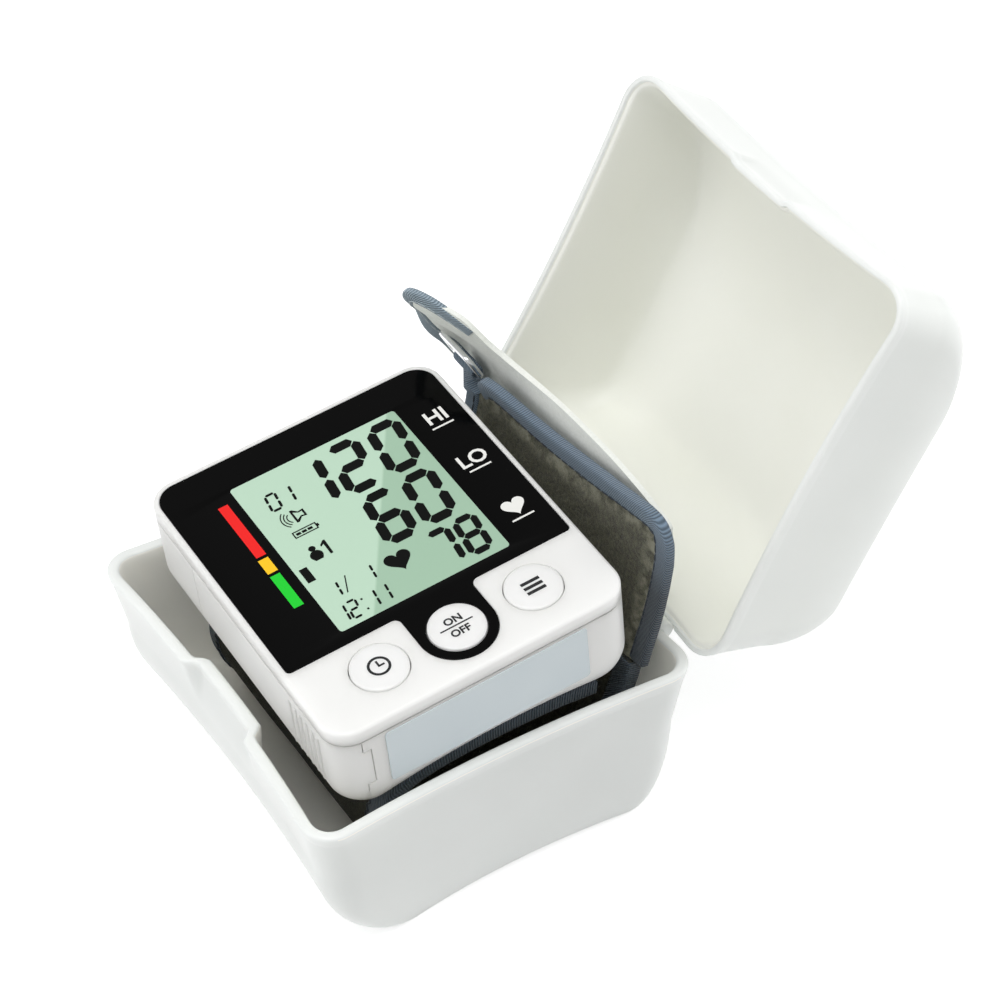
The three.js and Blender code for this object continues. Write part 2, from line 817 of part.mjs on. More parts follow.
const rearHousing = shape(
  shape(rearShell, {
    join: [
      ...bossPlaces.map(([x, y]) => post(x, y, floorAt(x), -partingMouth, bossRadius)),
      ...bayWalls,
    ],
  }),
  {
    cut: [
      doorRegion(gap),
      ...bossPlaces.map(([x, y]) => post(x, y, -bodyDepth, overrun, screwRadius + gap, 12)),
      ...bossPlaces.map(([x, y]) =>
        post(x, y, -bodyDepth - overrun, -screwDepth, screwHeadRadius + gap / 2, 16),
      ),
    ],
  },
);
addMesh(monitor, "rear_housing", rearHousing, satinWhite);

const screwProfile = [
  [0, -headSeat],
  [screwHeadRadius, -headSeat],
  [screwHeadRadius, -screwDepth - gap],
  [screwRadius, -screwDepth - gap],
  [screwRadius, -screwTipDepth - screwRadius],
  [0, -screwTipDepth],
].map(([r, z]) => new THREE.Vector2(r, z));
bossPlaces.forEach(([x, y], i) => {
  const screw = new THREE.LatheGeometry(screwProfile, 12).rotateX(Math.PI / 2).translate(x, y, 0);
  addMesh(monitor, "housing_screw_" + (i + 1), screw, steel);
});

// Cells, their sprung and plain contacts
cellX.forEach((x, i) => {
  const turned = i ? -1 : 1;
  const middle = turned * (springLength - cellCapTall) * 0.5;
  const capEnd = middle + (turned * (cellLength + cellCapTall)) / 2;
  const canEnd = middle - (turned * (cellLength - cellCapTall)) / 2;
  const profile = [
    [0, 0],
    [cellRadius, 0],
    [cellRadius, cellLength - cellCapTall],
    [cellCapRadius, cellLength - cellCapTall],
    [cellCapRadius, cellLength],
    [0, cellLength],
  ].map(([r, y]) => new THREE.Vector2(r, y));
  const cell = new THREE.LatheGeometry(profile, 20);
  if (turned < 0) cell.rotateX(Math.PI);
  addMesh(monitor, "cell_" + (i + 1), cell.translate(x, canEnd, -cellDepth), cellSleeve);

  const plainY = capEnd + turned * gap;
  const plainFar = plainY + turned * contactThick;
  const plain = block(
    vec(x - contactTall / 2, Math.min(plainY, plainFar), -cellDepth - contactTall / 2),
    vec(x + contactTall / 2, Math.max(plainY, plainFar), contactTall / 2 - cellDepth),
  );
  addMesh(monitor, "plain_contact_" + (i + 1), plain, steel);

  const springEnd = canEnd - turned * gap;
  const plateNear = springEnd - turned * springLength;
  const plateFar = plateNear - turned * contactThick;
  const coil = [];
  const stepsPerTurn = 8;
  for (let step = 0; step <= springTurns * stepsPerTurn; step++) {
    const share = step / (springTurns * stepsPerTurn);
    const angle = step * ((2 * Math.PI) / stepsPerTurn);
    const radius = springRadius * (1 - share / 3);
    const y = plateNear + turned * springLength * share - turned * springWire * (2 * share - 1);
    coil.push(vec(x + radius * Math.cos(angle), y, -cellDepth + radius * Math.sin(angle)));
  }
  const wire = solidOf(tube(coil, springWire, 5));
  const plate = solidOf(
    block(
      vec(x - contactTall / 2, Math.min(plateNear, plateFar), -cellDepth - contactTall / 2),
      vec(x + contactTall / 2, Math.max(plateNear, plateFar), contactTall / 2 - cellDepth),
    ),
  );
  const foot = solidOf(
    block(
      vec(x + springRadius - springWire, Math.min(plateFar, plateNear + turned * springWire), -cellDepth - springWire),
      vec(x + springRadius + springWire, Math.max(plateFar, plateNear + turned * springWire), springWire - cellDepth),
    ),
  );
  addMesh(monitor, "sprung_contact_" + (i + 1), geometryOf(plate.add(foot).add(wire)), steel);
});

// A tube of a few sides along a list of points, closed by its end faces
function tube(points, radius, sides, loop = false) {
  const rings = points.map((p, i) => {
    const before = loop ? points[(i + points.length - 1) % points.length] : points[Math.max(i - 1, 0)];
    const after = loop ? points[(i + 1) % points.length] : points[Math.min(i + 1, points.length - 1)];
    const along = new THREE.Vector3().subVectors(after, before).normalize();
    const side = new THREE.Vector3().crossVectors(along, vec(0.13, 0.21, 1).normalize()).normalize();
    const up = new THREE.Vector3().crossVectors(side, along);
    const ring = [];
    for (let j = 0; j < sides; j++) {
      const angle = (j / sides) * 2 * Math.PI;
      ring.push(
        p.clone().addScaledVector(side, radius * Math.cos(angle)).addScaledVector(up, radius * Math.sin(angle)),
      );
    }
    return ring;
  });
  const geometry = skin(rings, loop);
  return solidOf(geometry).volume() < 0 ? turnedOut(geometry) : geometry;
}

function turnedOut(geometry) {
  const index = geometry.index.array;
  for (let i = 0; i < index.length; i += 3) [index[i + 1], index[i + 2]] = [index[i + 2], index[i + 1]];
  geometry.computeVertexNormals();
  return geometry;
}

// Air system: pump, release valve, pressure sensor and the tube that joins them
const pumpTop = boardFoot - gap;
const pumpZ = pumpTop - pumpHeadTall / 2;
const pumpEndY = pumpY + pumpLength;
const pump = shape(bar(pumpX, pumpZ, pumpY, pumpEndY, pumpRadius - gap, 18), {
  join: [
    block(
      vec(pumpX - pumpHead / 2, pumpEndY - overrun, pumpZ - pumpHeadTall / 2),
      vec(pumpX + pumpHead / 2, pumpEndY + pumpHeadLength, pumpTop),
    ),
    bar(pumpX, pumpZ, pumpEndY, pumpEndY + pumpHeadLength + nozzleTall, nozzleRadius, 10),
  ],
});
addMesh(monitor, "air_pump", pump, holderGrey);
const valveFar = valveY + valveSide;
const valve = shape(
  block(vec(valveX - valveSide / 2, valveY, pumpTop - valveTall), vec(valveX + valveSide / 2, valveFar, pumpTop)),
  { join: [bar(valveX, pumpZ, valveFar - overrun, valveFar + nozzleTall, nozzleRadius, 10)] },
);
addMesh(monitor, "release_valve", valve, switchBlack);
const sensorFoot = boardFoot - gap - sensorTall;
const sensor = shape(
  block(
    vec(sensorX - sensorSide / 2, sensorY - sensorSide / 2, sensorFoot),
    vec(sensorX + sensorSide / 2, sensorY + sensorSide / 2, boardFoot - gap),
  ),
  {
    join: [
      block(
        vec(sensorX + sensorSide / 2 - overrun, sensorY - nozzleRadius, pumpZ - nozzleRadius),
        vec(sensorX + sensorSide / 2, sensorY + nozzleRadius, sensorFoot + overrun),
      ),
    ],
  },
);
addMesh(monitor, "pressure_sensor", sensor, switchBlack);
const buzzer = post(buzzerX, buzzerY, boardFoot - gap - buzzerTall, boardFoot - gap, buzzerRadius, 20);
addMesh(monitor, "buzzer", buzzer, switchBlack);

const tubeStart = pumpEndY + pumpHeadLength + nozzleTall + gap;
const tubeTurnY = (sensorY + tubeStart) / 2 + tubeRadius;
const tubeEnd = valveFar + nozzleTall + gap;
const tubePath = new THREE.CatmullRomCurve3([
  vec(pumpX, tubeStart, pumpZ),
  vec(pumpX, tubeStart + tubeRadius, pumpZ),
  vec(pumpX + (valveX - pumpX) * 0.25, tubeTurnY + 2 * tubeRadius, pumpZ - tubeRadius / 2),
  vec(pumpX + (valveX - pumpX) * 0.75, tubeTurnY + 2 * tubeRadius, pumpZ - tubeRadius / 2),
  vec(valveX, tubeEnd + tubeRadius, pumpZ),
  vec(valveX, tubeEnd, pumpZ),
]);
addMesh(monitor, "air_tube", tube(tubePath.getPoints(18), tubeRadius, 8), silicone);

// Rating plate, left blank, on the side that faces the front
addMesh(
  monitor,
  "rating_plate",
  block(
    vec(-plateHalf, -bodyHalfY - gap / 2 - plateThick, -plateTop - plateTall),
    vec(plateHalf, -bodyHalfY - gap / 2, -plateTop),
  ),
  ratingFilm,
);

// Cuff
// A band that keeps to one side of the roll's middle line, between two distances from it
function bandAlong(line, near, far, startShare, endShare) {
  const steps = 40;
  const point = (share, away) => {
    const p = line.getPointAt(share);
    const t = line.getTangentAt(share);
    return new THREE.Vector2(p.x - t.y * away, p.y + t.x * away);
  };
  const outline = [];
  const run = endShare - startShare;
  for (let i = 0; i <= steps; i++) outline.push(point(startShare + (run * i) / steps, near));
  for (let i = steps; i >= 0; i--) outline.push(point(startShare + (run * i) / steps, far));
  return new THREE.Shape(outline);
}

// The roll's middle line, as shares of the case's half width and of its base's height: under the
// body from right to left, round the left side, along the case's floor and up again on the right
const rollShares = [
  [0.5515, 0.9405],
  [0.3186, 0.9622],
  [0.0000, 0.9568],
  [-0.2451, 0.9324],
  [-0.4289, 0.8865],
  [-0.5539, 0.8000],
  [-0.6176, 0.6595],
  [-0.5980, 0.4703],
  [-0.4804, 0.2919],
  [-0.2451, 0.1560],
  [0.0000, 0.1310],
  [0.2206, 0.1510],
  [0.4902, 0.2950],
  [0.6520, 0.5946],
  [0.7402, 0.8649],
  [0.7647, 0.9838],
];
const roll = new THREE.SplineCurve(
  rollShares.map(([x, z]) => new THREE.Vector2(x * rimHalfX, z * baseHeight)),
);
const cuffLow = cuffMiddleY - cuffHalf;
const cuffHigh = cuffMiddleY + cuffHalf;
const layerEdge = bladderThick / 2 + gap;
const bladderStartShare = 0.05;
const bladderEndShare = 0.72;
addMesh(
  part,
  "cuff_cover",
  carriedAlongY(bandAlong(roll, -layerEdge - coverThick, -layerEdge, 0, 1), cuffLow, cuffHigh),
  greyFelt,
);
addMesh(
  part,
  "cuff_lining",
  carriedAlongY(bandAlong(roll, layerEdge, layerEdge + liningThick, 0, 1), cuffLow, cuffHigh),
  oliveFelt,
);
addMesh(
  part,
  "cuff_bladder",
  carriedAlongY(
    bandAlong(roll, -bladderThick / 2, bladderThick / 2, bladderStartShare, bladderEndShare),
    cuffLow + bladderMargin,
    cuffHigh - bladderMargin,
  ),
  bladderGrey,
);

// Curved plate between the cuff and the body's arched underside
const cuffPlateTop = (x) => arch(x) - bodyDepth - gap;
const cuffPlateOutline = new THREE.Shape();
const cuffPlateSteps = 8;
for (let i = 0; i <= 2 * cuffPlateSteps + 1; i++) {
  const upper = i <= cuffPlateSteps;
  const share = upper ? i / cuffPlateSteps : 1 - (i - cuffPlateSteps - 1) / cuffPlateSteps;
  const x = cuffPlateHalf * (2 * share - 1);
  const z = cuffPlateTop(x) - (upper ? cuffPlateThick : 0);
  if (i === 0) cuffPlateOutline.moveTo(x, z);
  else cuffPlateOutline.lineTo(x, z);
}
addMesh(
  monitor,
  "cuff_plate",
  carriedAlongY(cuffPlateOutline, -cuffPlateHalfY, cuffPlateHalfY),
  satinWhite,
);

// A sheet between a front and a back surface, each given by shares across and up
function sheet(across, up, front, back) {
  const points = [];
  const faces = [];
  const wide = across.length;
  const at = (side, i, j) => side * wide * up.length + j * wide + i;
  for (const surface of [front, back]) {
    for (const v of up) for (const u of across) points.push(surface(u, v));
  }
  const quad = (a, b, c, d) => faces.push(a, b, c, a, c, d);
  for (let j = 0; j + 1 < up.length; j++) {
    for (let i = 0; i + 1 < wide; i++) {
      quad(at(0, i, j), at(0, i + 1, j), at(0, i + 1, j + 1), at(0, i, j + 1));
      quad(at(1, i, j), at(1, i, j + 1), at(1, i + 1, j + 1), at(1, i + 1, j));
    }
    quad(at(0, 0, j), at(0, 0, j + 1), at(1, 0, j + 1), at(1, 0, j));
    quad(at(0, wide - 1, j), at(1, wide - 1, j), at(1, wide - 1, j + 1), at(0, wide - 1, j + 1));
  }
  const top = up.length - 1;
  for (let i = 0; i + 1 < wide; i++) {
    quad(at(0, i, 0), at(1, i, 0), at(1, i + 1, 0), at(0, i + 1, 0));
    quad(at(0, i, top), at(0, i + 1, top), at(1, i + 1, top), at(1, i, top));
  }
  const geometry = new THREE.BufferGeometry();
  geometry.setAttribute(
    "position",
    new THREE.Float32BufferAttribute(points.flatMap((p) => [p.x, p.y, p.z]), 3),
  );
  geometry.setIndex(faces);
  return solidOf(geometry).volume() < 0 ? turnedOut(geometry) : geometry;
}

// A value read off a list of pairs, straight between them
function along(pairs, at) {
  for (let i = 1; i < pairs.length; i++) {
    const [from, low] = pairs[i - 1];
    const [to, high] = pairs[i];
    if (at <= to || i === pairs.length - 1) {
      return low + (high - low) * Math.min(Math.max((at - from) / (to - from), 0), 1);
    }
  }
  return pairs[0][1];
}

const curlAt = (y, z) => curl * smooth((y - curlStart) / curlRun) * smooth((z - curlFrom) / curlRise);
// The flap's lean by its height, then its top edge from the near end to the far end
const flapLeanShares = [
  [0.0000, 0.8694],
  [0.1273, 0.9000],
  [0.2727, 0.9361],
  [0.4091, 0.9625],
  [0.5455, 0.9833],
  [0.6970, 1.0000],
  [0.8485, 1.0000],
  [1.0000, 0.9861],
];
const flapTopShares = [
  [-1.0692, 0.8364],
  [-1.0535, 0.9242],
  [-1.0189, 0.9788],
  [-0.9654, 1.0000],
  [-0.8899, 1.0000],
  [-0.7956, 0.9879],
  [-0.6069, 0.9424],
  [-0.3868, 0.8939],
  [-0.1038, 0.8394],
  [0.0220, 0.8242],
  [0.2107, 0.8061],
  [0.4623, 0.8015],
  [0.6824, 0.7879],
  [0.7610, 0.7667],
  [0.8270, 0.7273],
  [0.8491, 0.6515],
  [0.8679, 0.6000],
  [1.0000, 0.5636],
];
const upShares = [0, 0.12, 0.25, 0.38, 0.5, 0.62, 0.74, 0.84, 0.92, 1];
const flapSurface = (away) => (across, share) => {
  const y = cuffMiddleY + across * cuffHalf;
  const z = flapFoot + share * (flapTall * along(flapTopShares, across) - flapFoot);
  const x = flapReach * along(flapLeanShares, z / flapTall) - curlAt(y, z) + away;
  return vec(x, y, baseHeight + z);
};
addMesh(
  part,
  "cuff_flap",
  sheet(
    flapTopShares.map(([across]) => across),
    upShares,
    flapSurface(-flapThick / 2),
    flapSurface(flapThick / 2),
  ),
  oliveFelt,
);

// The strap's top edge from its near end to its far end, and its far edge by its height
const strapTopShares = [
  [0, 0.6469],
  [0.02, 0.6706],
  [0.107, 0.6991],
  [0.221, 0.7204],
  [0.336, 0.7251],
  [0.45, 0.7204],
  [0.564, 0.7109],
  [0.65, 0.7299],
  [0.707, 0.7773],
  [0.764, 0.8626],
  [0.821, 0.9502],
  [0.879, 0.9858],
  [0.921, 1.0000],
  [0.95, 0.9953],
  [0.975, 0.9763],
  [1, 0.9384],
];
const strapFarShares = [
  [0.2844, 0.8398],
  [0.3555, 0.8883],
  [0.4384, 0.9248],
  [0.5213, 0.9587],
  [0.5924, 0.9757],
  [0.6635, 0.9951],
  [0.7346, 1.0000],
  [0.8057, 0.9854],
  [0.8768, 0.9369],
  [0.9384, 0.9053],
];
const strapSurface = (away) => (share, upShare) => {
  const z = strapFoot + upShare * (strapTall * along(strapTopShares, share) - strapFoot);
  const far = strapFar * along(strapFarShares, z / strapTall);
  const y = share * (far + strapNear) - strapNear;
  const curled = smooth((y - strapCurlStart) / strapCurlRun);
  const risen = smooth((z - strapCurlFrom) / strapCurlRise);
  const edgeCurled = smooth((y - strapEdgeFrom) / strapEdgeRun) * (1 - smooth((z - strapEdgeTop) / strapEdgeFade));
  const forward = strapCurl * curled * risen + strapEdgeCurl * edgeCurled;
  return vec(strapBack - forward + away, y, baseHeight + z);
};
addMesh(
  part,
  "strap_tongue",
  sheet(
    strapTopShares.map(([share]) => share),
    upShares,
    strapSurface(-strapThick / 2),
    strapSurface(strapThick / 2),
  ),
  greyFelt,
);

// The ring stands in the tab's loop, leaning a little forward
const ringPath = [];
const ringCornerSteps = 4;
for (let corner = 0; corner < 4; corner++) {
  const sideY = corner === 0 || corner === 3 ? 1 : -1;
  const sideZ = corner < 2 ? 1 : -1;
  for (let i = 0; i <= ringCornerSteps; i++) {
    const angle = ((corner + i / ringCornerSteps) * Math.PI) / 2;
    const y = sideY * (ringHalf - ringCorner) + ringCorner * Math.cos(angle);
    const up = sideZ * (ringTall / 2 - ringCorner) + ringCorner * Math.sin(angle) + ringTall / 2;
    ringPath.push(vec(ringX - (ringLean * up) / ringTall, ringY + y, baseHeight + ringFoot + up));
  }
}
addMesh(part, "metal_ring", tube(ringPath, ringWire, 10, true), chrome);

// Webbing tab: one turn round the ring's lower bar, with its two ends meeting behind the cuff's end
const tabInner = ringWire + gap;
const tabOuter = tabInner + tabThick;
const tabTail = new THREE.Shape();
const ringBarZ = baseHeight + ringFoot;
tabTail.moveTo(ringX + tabInner, ringBarZ - tabDrop);
tabTail.lineTo(ringX + tabOuter, ringBarZ - tabDrop);
tabTail.lineTo(ringX + tabOuter, ringBarZ);
tabTail.absarc(ringX, ringBarZ, tabOuter, 0, 1.5 * Math.PI, false);
tabTail.lineTo(ringX, ringBarZ - tabInner);
tabTail.absarc(ringX, ringBarZ, tabInner, 1.5 * Math.PI, 0, true);
addMesh(
  part,
  "ring_tab",
  carriedAlongY(tabTail, ringY - tabHalf, ringY + tabHalf),
  webbingSlate,
);

export default part;
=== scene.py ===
# %% [markdown]
# # A wrist blood pressure monitor in its clamshell case
# A flat white monitor lies on its rolled cuff in the lower half of a hinged case, with the cuff's
# end and its strap standing up behind it. The CAD model fixes where every piece is. This lesson
# gives each visible piece its real surface and finish: thin moulded shells, a printed black
# window, a reflective display, sewn cloth and a plated wire ring.

import json
import math

import bmesh
import bpy
import numpy as np
from mathutils import Matrix, Vector
from mathutils.geometry import tessellate_polygon


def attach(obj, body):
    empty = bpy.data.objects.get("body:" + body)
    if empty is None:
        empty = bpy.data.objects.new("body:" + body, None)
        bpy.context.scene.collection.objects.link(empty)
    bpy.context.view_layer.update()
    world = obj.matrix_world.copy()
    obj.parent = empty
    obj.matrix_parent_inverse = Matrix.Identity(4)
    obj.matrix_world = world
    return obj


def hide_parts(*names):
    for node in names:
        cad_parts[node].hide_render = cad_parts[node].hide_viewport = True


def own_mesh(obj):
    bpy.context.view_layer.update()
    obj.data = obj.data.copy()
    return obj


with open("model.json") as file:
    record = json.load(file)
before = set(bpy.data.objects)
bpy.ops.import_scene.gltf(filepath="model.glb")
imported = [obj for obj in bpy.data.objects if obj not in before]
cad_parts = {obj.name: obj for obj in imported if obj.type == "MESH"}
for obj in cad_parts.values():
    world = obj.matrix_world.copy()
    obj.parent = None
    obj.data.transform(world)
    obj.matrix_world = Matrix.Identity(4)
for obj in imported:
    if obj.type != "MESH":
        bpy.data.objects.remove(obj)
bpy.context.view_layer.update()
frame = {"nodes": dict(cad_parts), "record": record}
scene = bpy.context.scene
MM = 0.001
print("CAD nodes:", len(frame["nodes"]))

# %% [markdown]
# ## The camera
# The photograph was taken from the front left, well above the case and with a long lens, so the
# parallel edges of the case barely draw together. These numbers come from a fit of the case's rim
# and the monitor's corners to their places in the picture.

# %% Camera
AZIMUTH = math.radians(-32.413)
ELEVATION = math.radians(43.438)
DISTANCE = 0.550764
TARGET = Vector((0.024495, 0.00163, 0.05211))
LENS_MM = 106.84

level = math.cos(ELEVATION)
back = Vector((math.sin(AZIMUTH) * level, -math.cos(AZIMUTH) * level, math.sin(ELEVATION)))
camera = bpy.data.objects.new("camera", bpy.data.cameras.new("camera"))
camera.data.lens = LENS_MM
camera.data.sensor_width = 36.0
camera.data.sensor_fit = "HORIZONTAL"
camera.data.clip_start = 0.02
camera.data.clip_end = 20.0
camera.location = TARGET + back * DISTANCE
camera.rotation_euler = (-back).to_track_quat("-Z", "Y").to_euler()
scene.collection.objects.link(camera)
scene.camera = camera

# %% [markdown]
# ## Tools for surfaces
# Every new shape here is either a grid of points, worked out as whole arrays, or an outline with a
# rounded edge carried round it. A few small functions turn such arrays into a mesh that rides on
# the right body.


# %% Grids, easing and the mesh maker
def smooth(t):
    """Eases from 0 to 1: three t squared minus two t cubed, held at both ends."""
    t = np.clip(t, 0.0, 1.0)
    return t * t * (3.0 - 2.0 * t)


def grid_faces(rows, columns, loop_rows=False, loop_columns=False, first=0):
    """Each quad joins a point of the grid to its neighbours to the right, above right and above."""
    r, c = np.meshgrid(
        np.arange(rows if loop_rows else rows - 1),
        np.arange(columns if loop_columns else columns - 1),
        indexing="ij",
    )
    r2, c2 = (r + 1) % rows, (c + 1) % columns
    quads = [r * columns + c, r * columns + c2, r2 * columns + c2, r2 * columns + c]
    return (np.stack(quads, -1).reshape(-1, 4) + first).tolist()


def fan(ring, hub):
    """Triangles from a hub point to each pair of neighbours on a closed ring."""
    ring = np.asarray(ring)
    return np.stack([np.full(len(ring), hub), ring, np.roll(ring, -1)], 1).tolist()


def skin(rings):
    """Closed surface through rings of equal count, its two ends closed by fans round their middles."""
    rings = np.asarray(rings, float)
    rows, columns = rings.shape[:2]
    points = np.vstack([rings.reshape(-1, 3), rings[0].mean(0), rings[-1].mean(0)])
    faces = grid_faces(rows, columns, loop_columns=True)
    faces += fan(np.arange(columns), rows * columns)
    faces += fan(np.arange(columns) + (rows - 1) * columns, rows * columns + 1)
    return points, faces


def turn_outward(mesh, sharp_degrees):
    """Merges doubled points, points every face outward and keeps edges over an angle sharp."""
    bm = bmesh.new()
    bm.from_mesh(mesh)
    bmesh.ops.remove_doubles(bm, verts=bm.verts, dist=1e-7)
    bmesh.ops.recalc_face_normals(bm, faces=bm.faces)
    bm.to_mesh(mesh)
    bm.free()
    mesh.shade_smooth()
    mesh.set_sharp_from_angle(angle=math.radians(sharp_degrees))


def vectors_of(items, key):
    """One vector of each vertex or face of a mesh, such as its place, as rows of an array."""
    flat = np.empty(len(items) * 3)
    items.foreach_get(key, flat)
    return flat.reshape(-1, 3)


def piece(name, points, faces, body, material, replaces=(), sharp_degrees=38):
    """A mesh object at the origin from points in millimetres, riding on a body."""
    mesh = bpy.data.meshes.new(name)
    mesh.from_pydata((np.asarray(points, float) * MM).tolist(), [], faces)
    turn_outward(mesh, sharp_degrees)
    mesh.materials.append(material)
    obj = bpy.data.objects.new(name, mesh)
    scene.collection.objects.link(obj)
    if body:
        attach(obj, body)
    if replaces:
        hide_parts(*replaces)
    return obj


def bevel(obj, width_mm):
    """Rounds the piece's sharp edges by a width in millimetres."""
    modifier = obj.modifiers.new("edge", "BEVEL")
    modifier.width = width_mm * MM
    modifier.segments = 2
    modifier.limit_method = "ANGLE"
    modifier.angle_limit = math.radians(40)
    modifier.harden_normals = True
    return obj


# %% [markdown]
# ## Tools for materials
# Colours are written as they look on a screen, and one function turns them to the linear values
# that the shader wants. One more function adds a node with its settings and links.


# %% Colour and node functions
def linear(hex_colour):
    """A screen colour such as #C8D0D4 as the linear colour that the shader mixes."""
    value = np.array([int(hex_colour[i : i + 2], 16) for i in (1, 3, 5)]) / 255.0
    value = np.where(value <= 0.04045, value / 12.92, ((value + 0.055) / 1.055) ** 2.4)
    return (*value, 1.0)


def add(tree, kind, settings=None, **links):
    """Adds a node, sets its properties and sockets, and links named inputs to other sockets."""
    node = tree.nodes.new(kind)
    for key, value in (settings or {}).items():
        if isinstance(key, str) and hasattr(node, key):
            setattr(node, key, value)
        else:
            node.inputs[key].default_value = value
    for key, socket in links.items():
        place = node.inputs[int(key[1:])] if key[1:].isdigit() else node.inputs[key]
        tree.links.new(socket, place)
    return node


def new_material(name, roughness, colour, **shader):
    """A material with one surface shader, and the shader and its tree for more nodes."""
    material = bpy.data.materials.new(name)
    material.use_nodes = True
    tree = material.node_tree
    surface = tree.nodes["Principled BSDF"]
    surface.inputs["Base Color"].default_value = linear(colour)
    surface.inputs["Roughness"].default_value = roughness
    for key, value in shader.items():
        surface.inputs[key.replace("_", " ")].default_value = value
    return material, tree, surface


def place_in_mm(tree):
    """Object coordinates in millimetres, so that a pattern's scale is one over its real size."""
    place = add(tree, "ShaderNodeTexCoord").outputs["Object"]
    return add(tree, "ShaderNodeMapping", {"Scale": (1 / MM, 1 / MM, 1 / MM)}, Vector=place).outputs[0]


def speckle(tree, size_mm, detail=2.0, roughness=0.5):
    """Noise whose grains are a given size in millimetres."""
    settings = {"Scale": 1.0 / size_mm, "Detail": detail, "Roughness": roughness}
    return add(tree, "ShaderNodeTexNoise", settings, Vector=place_in_mm(tree)).outputs["Fac"]


def between(tree, factor, low, high, start=0.0, stop=1.0):
    """A colour that goes from one to another as a factor goes from start to stop."""
    ramp = add(tree, "ShaderNodeValToRGB", Fac=factor)
    for element, place, colour in zip(ramp.color_ramp.elements, (start, stop), (low, high)):
        element.position = place
        element.color = linear(colour)
    return ramp.outputs[0]


def ranged(tree, value, low, high, to_low=0.0, to_high=1.0):
    """A value's range from low to high laid over another range, and held at its ends."""
    settings = {"From Min": low, "From Max": high, "To Min": to_low, "To Max": to_high}
    return add(tree, "ShaderNodeMapRange", settings, Value=value).outputs[0]


def raise_surface(tree, surface, height, depth_mm, strength=1.0, normal=None):
    """Bump of a height that is given as a depth in millimetres, over another bump if one is given."""
    links = {"Height": height, "Normal": normal} if normal else {"Height": height}
    bump = add(tree, "ShaderNodeBump", {"Strength": strength, "Distance": depth_mm * MM}, **links)
    tree.links.new(bump.outputs[0], surface.inputs["Normal"])
    return bump.outputs[0]


# %% [markdown]
# ## Moulded plastics
# The case is ABS from a polished tool: white, glossy, with a faint unevenness that bends the
# reflections. The monitor is the same plastic from a finer tool. Inside, the case has a paler,
# warmer colour: painted bounce light off the cuff's felt.


# %% ABS for the case and the monitor
def moulded_abs(name, colour, shade, roughness, wave_mm, wave_depth_mm):
    """Glossy ABS: two near whites mixed by broad noise, with a shallow wave in the surface. Light
    spreads some seven millimetres inside it, so a thin wall glows a little and its shadows are soft."""
    material, tree, surface = new_material(name, roughness, colour, IOR=1.53)
    surface.inputs["Subsurface Weight"].default_value = 0.6
    surface.inputs["Subsurface Radius"].default_value = (0.007, 0.007, 0.007)
    surface.inputs["Subsurface Scale"].default_value = 1.0
    tint = between(tree, speckle(tree, 22.0, 1.0), colour, shade, 0.35, 0.75)
    tree.links.new(tint, surface.inputs["Base Color"])
    wave = raise_surface(tree, surface, speckle(tree, wave_mm, 1.0), wave_depth_mm, 0.6)
    raise_surface(tree, surface, speckle(tree, 0.25, 1.0), 0.004, 0.3, wave)
    return material


case_abs = moulded_abs("polished_abs_case", "#E9EDEA", "#E4E8E5", 0.3, 6.0, 0.03)
body_abs = moulded_abs("satin_abs_body", "#FEFEFA", "#FAFAF5", 0.34, 4.0, 0.012)
button_abs = moulded_abs("polished_abs_buttons", "#FCFCFA", "#F8F8F6", 0.28, 3.0, 0.008)

# %% [markdown]
# The inside of the case is the same moulding left with a finer, duller tool finish. Its paler,
# warmer colour is painted bounce light, and it is its own material on the inner faces. The base's
# painted bounce is warmer than the lid's, because the light that reaches it comes off the olive cloth.

# %% Inner faces of the case, with painted bounce light
lid_inside_painted_bounce_abs = moulded_abs("matt_abs_lid_inside_painted_bounce", "#F1F2E9", "#EEEFE5", 0.42, 6.0, 0.03)
base_inside_painted_bounce_abs = moulded_abs("matt_abs_base_inside_painted_bounce", "#FCFAEE", "#F9F7EA", 0.42, 6.0, 0.03)

# %% [markdown]
# ## The two case shells
# Each shell is one moulding about two millimetres thick. Seen from above its sides bow inward, its
# front slopes and rounds far more than its back, and its walls turn into the bottom along quarter
# ellipses. A ring of points is worked out for each depth below the rim, first up the outside, then
# over the rounded rim and down the inside, so the whole wall is one closed surface.

# %% Outline of the rim and the shell's rings
RIM_X, RIM_Y = 40.8, 42.4
BASE_TALL = 37.0


def outline_shares(per_side, per_corner):
    """Round a rounded rectangle: where each point's corner centre lies, and its direction from it."""
    centres, directions = [], []
    for quarter in range(4):
        a = quarter * math.pi / 2
        along = np.array([[-math.sin(a), math.cos(a)]])
        out = np.array([[math.cos(a), math.sin(a)]])
        t = np.linspace(-1, 1, per_side, endpoint=False)[:, None]
        centres.append(out + along * t)
        directions.append(np.repeat(out, per_side, 0))
        turn = a + np.linspace(0, math.pi / 2, per_corner, endpoint=False)
        directions.append(np.stack([np.cos(turn), np.sin(turn)], 1))
        centres.append(np.repeat(out + along, per_corner, 0))
    return np.vstack(centres), np.vstack(directions)


CENTRES, DIRECTIONS = outline_shares(72, 14)


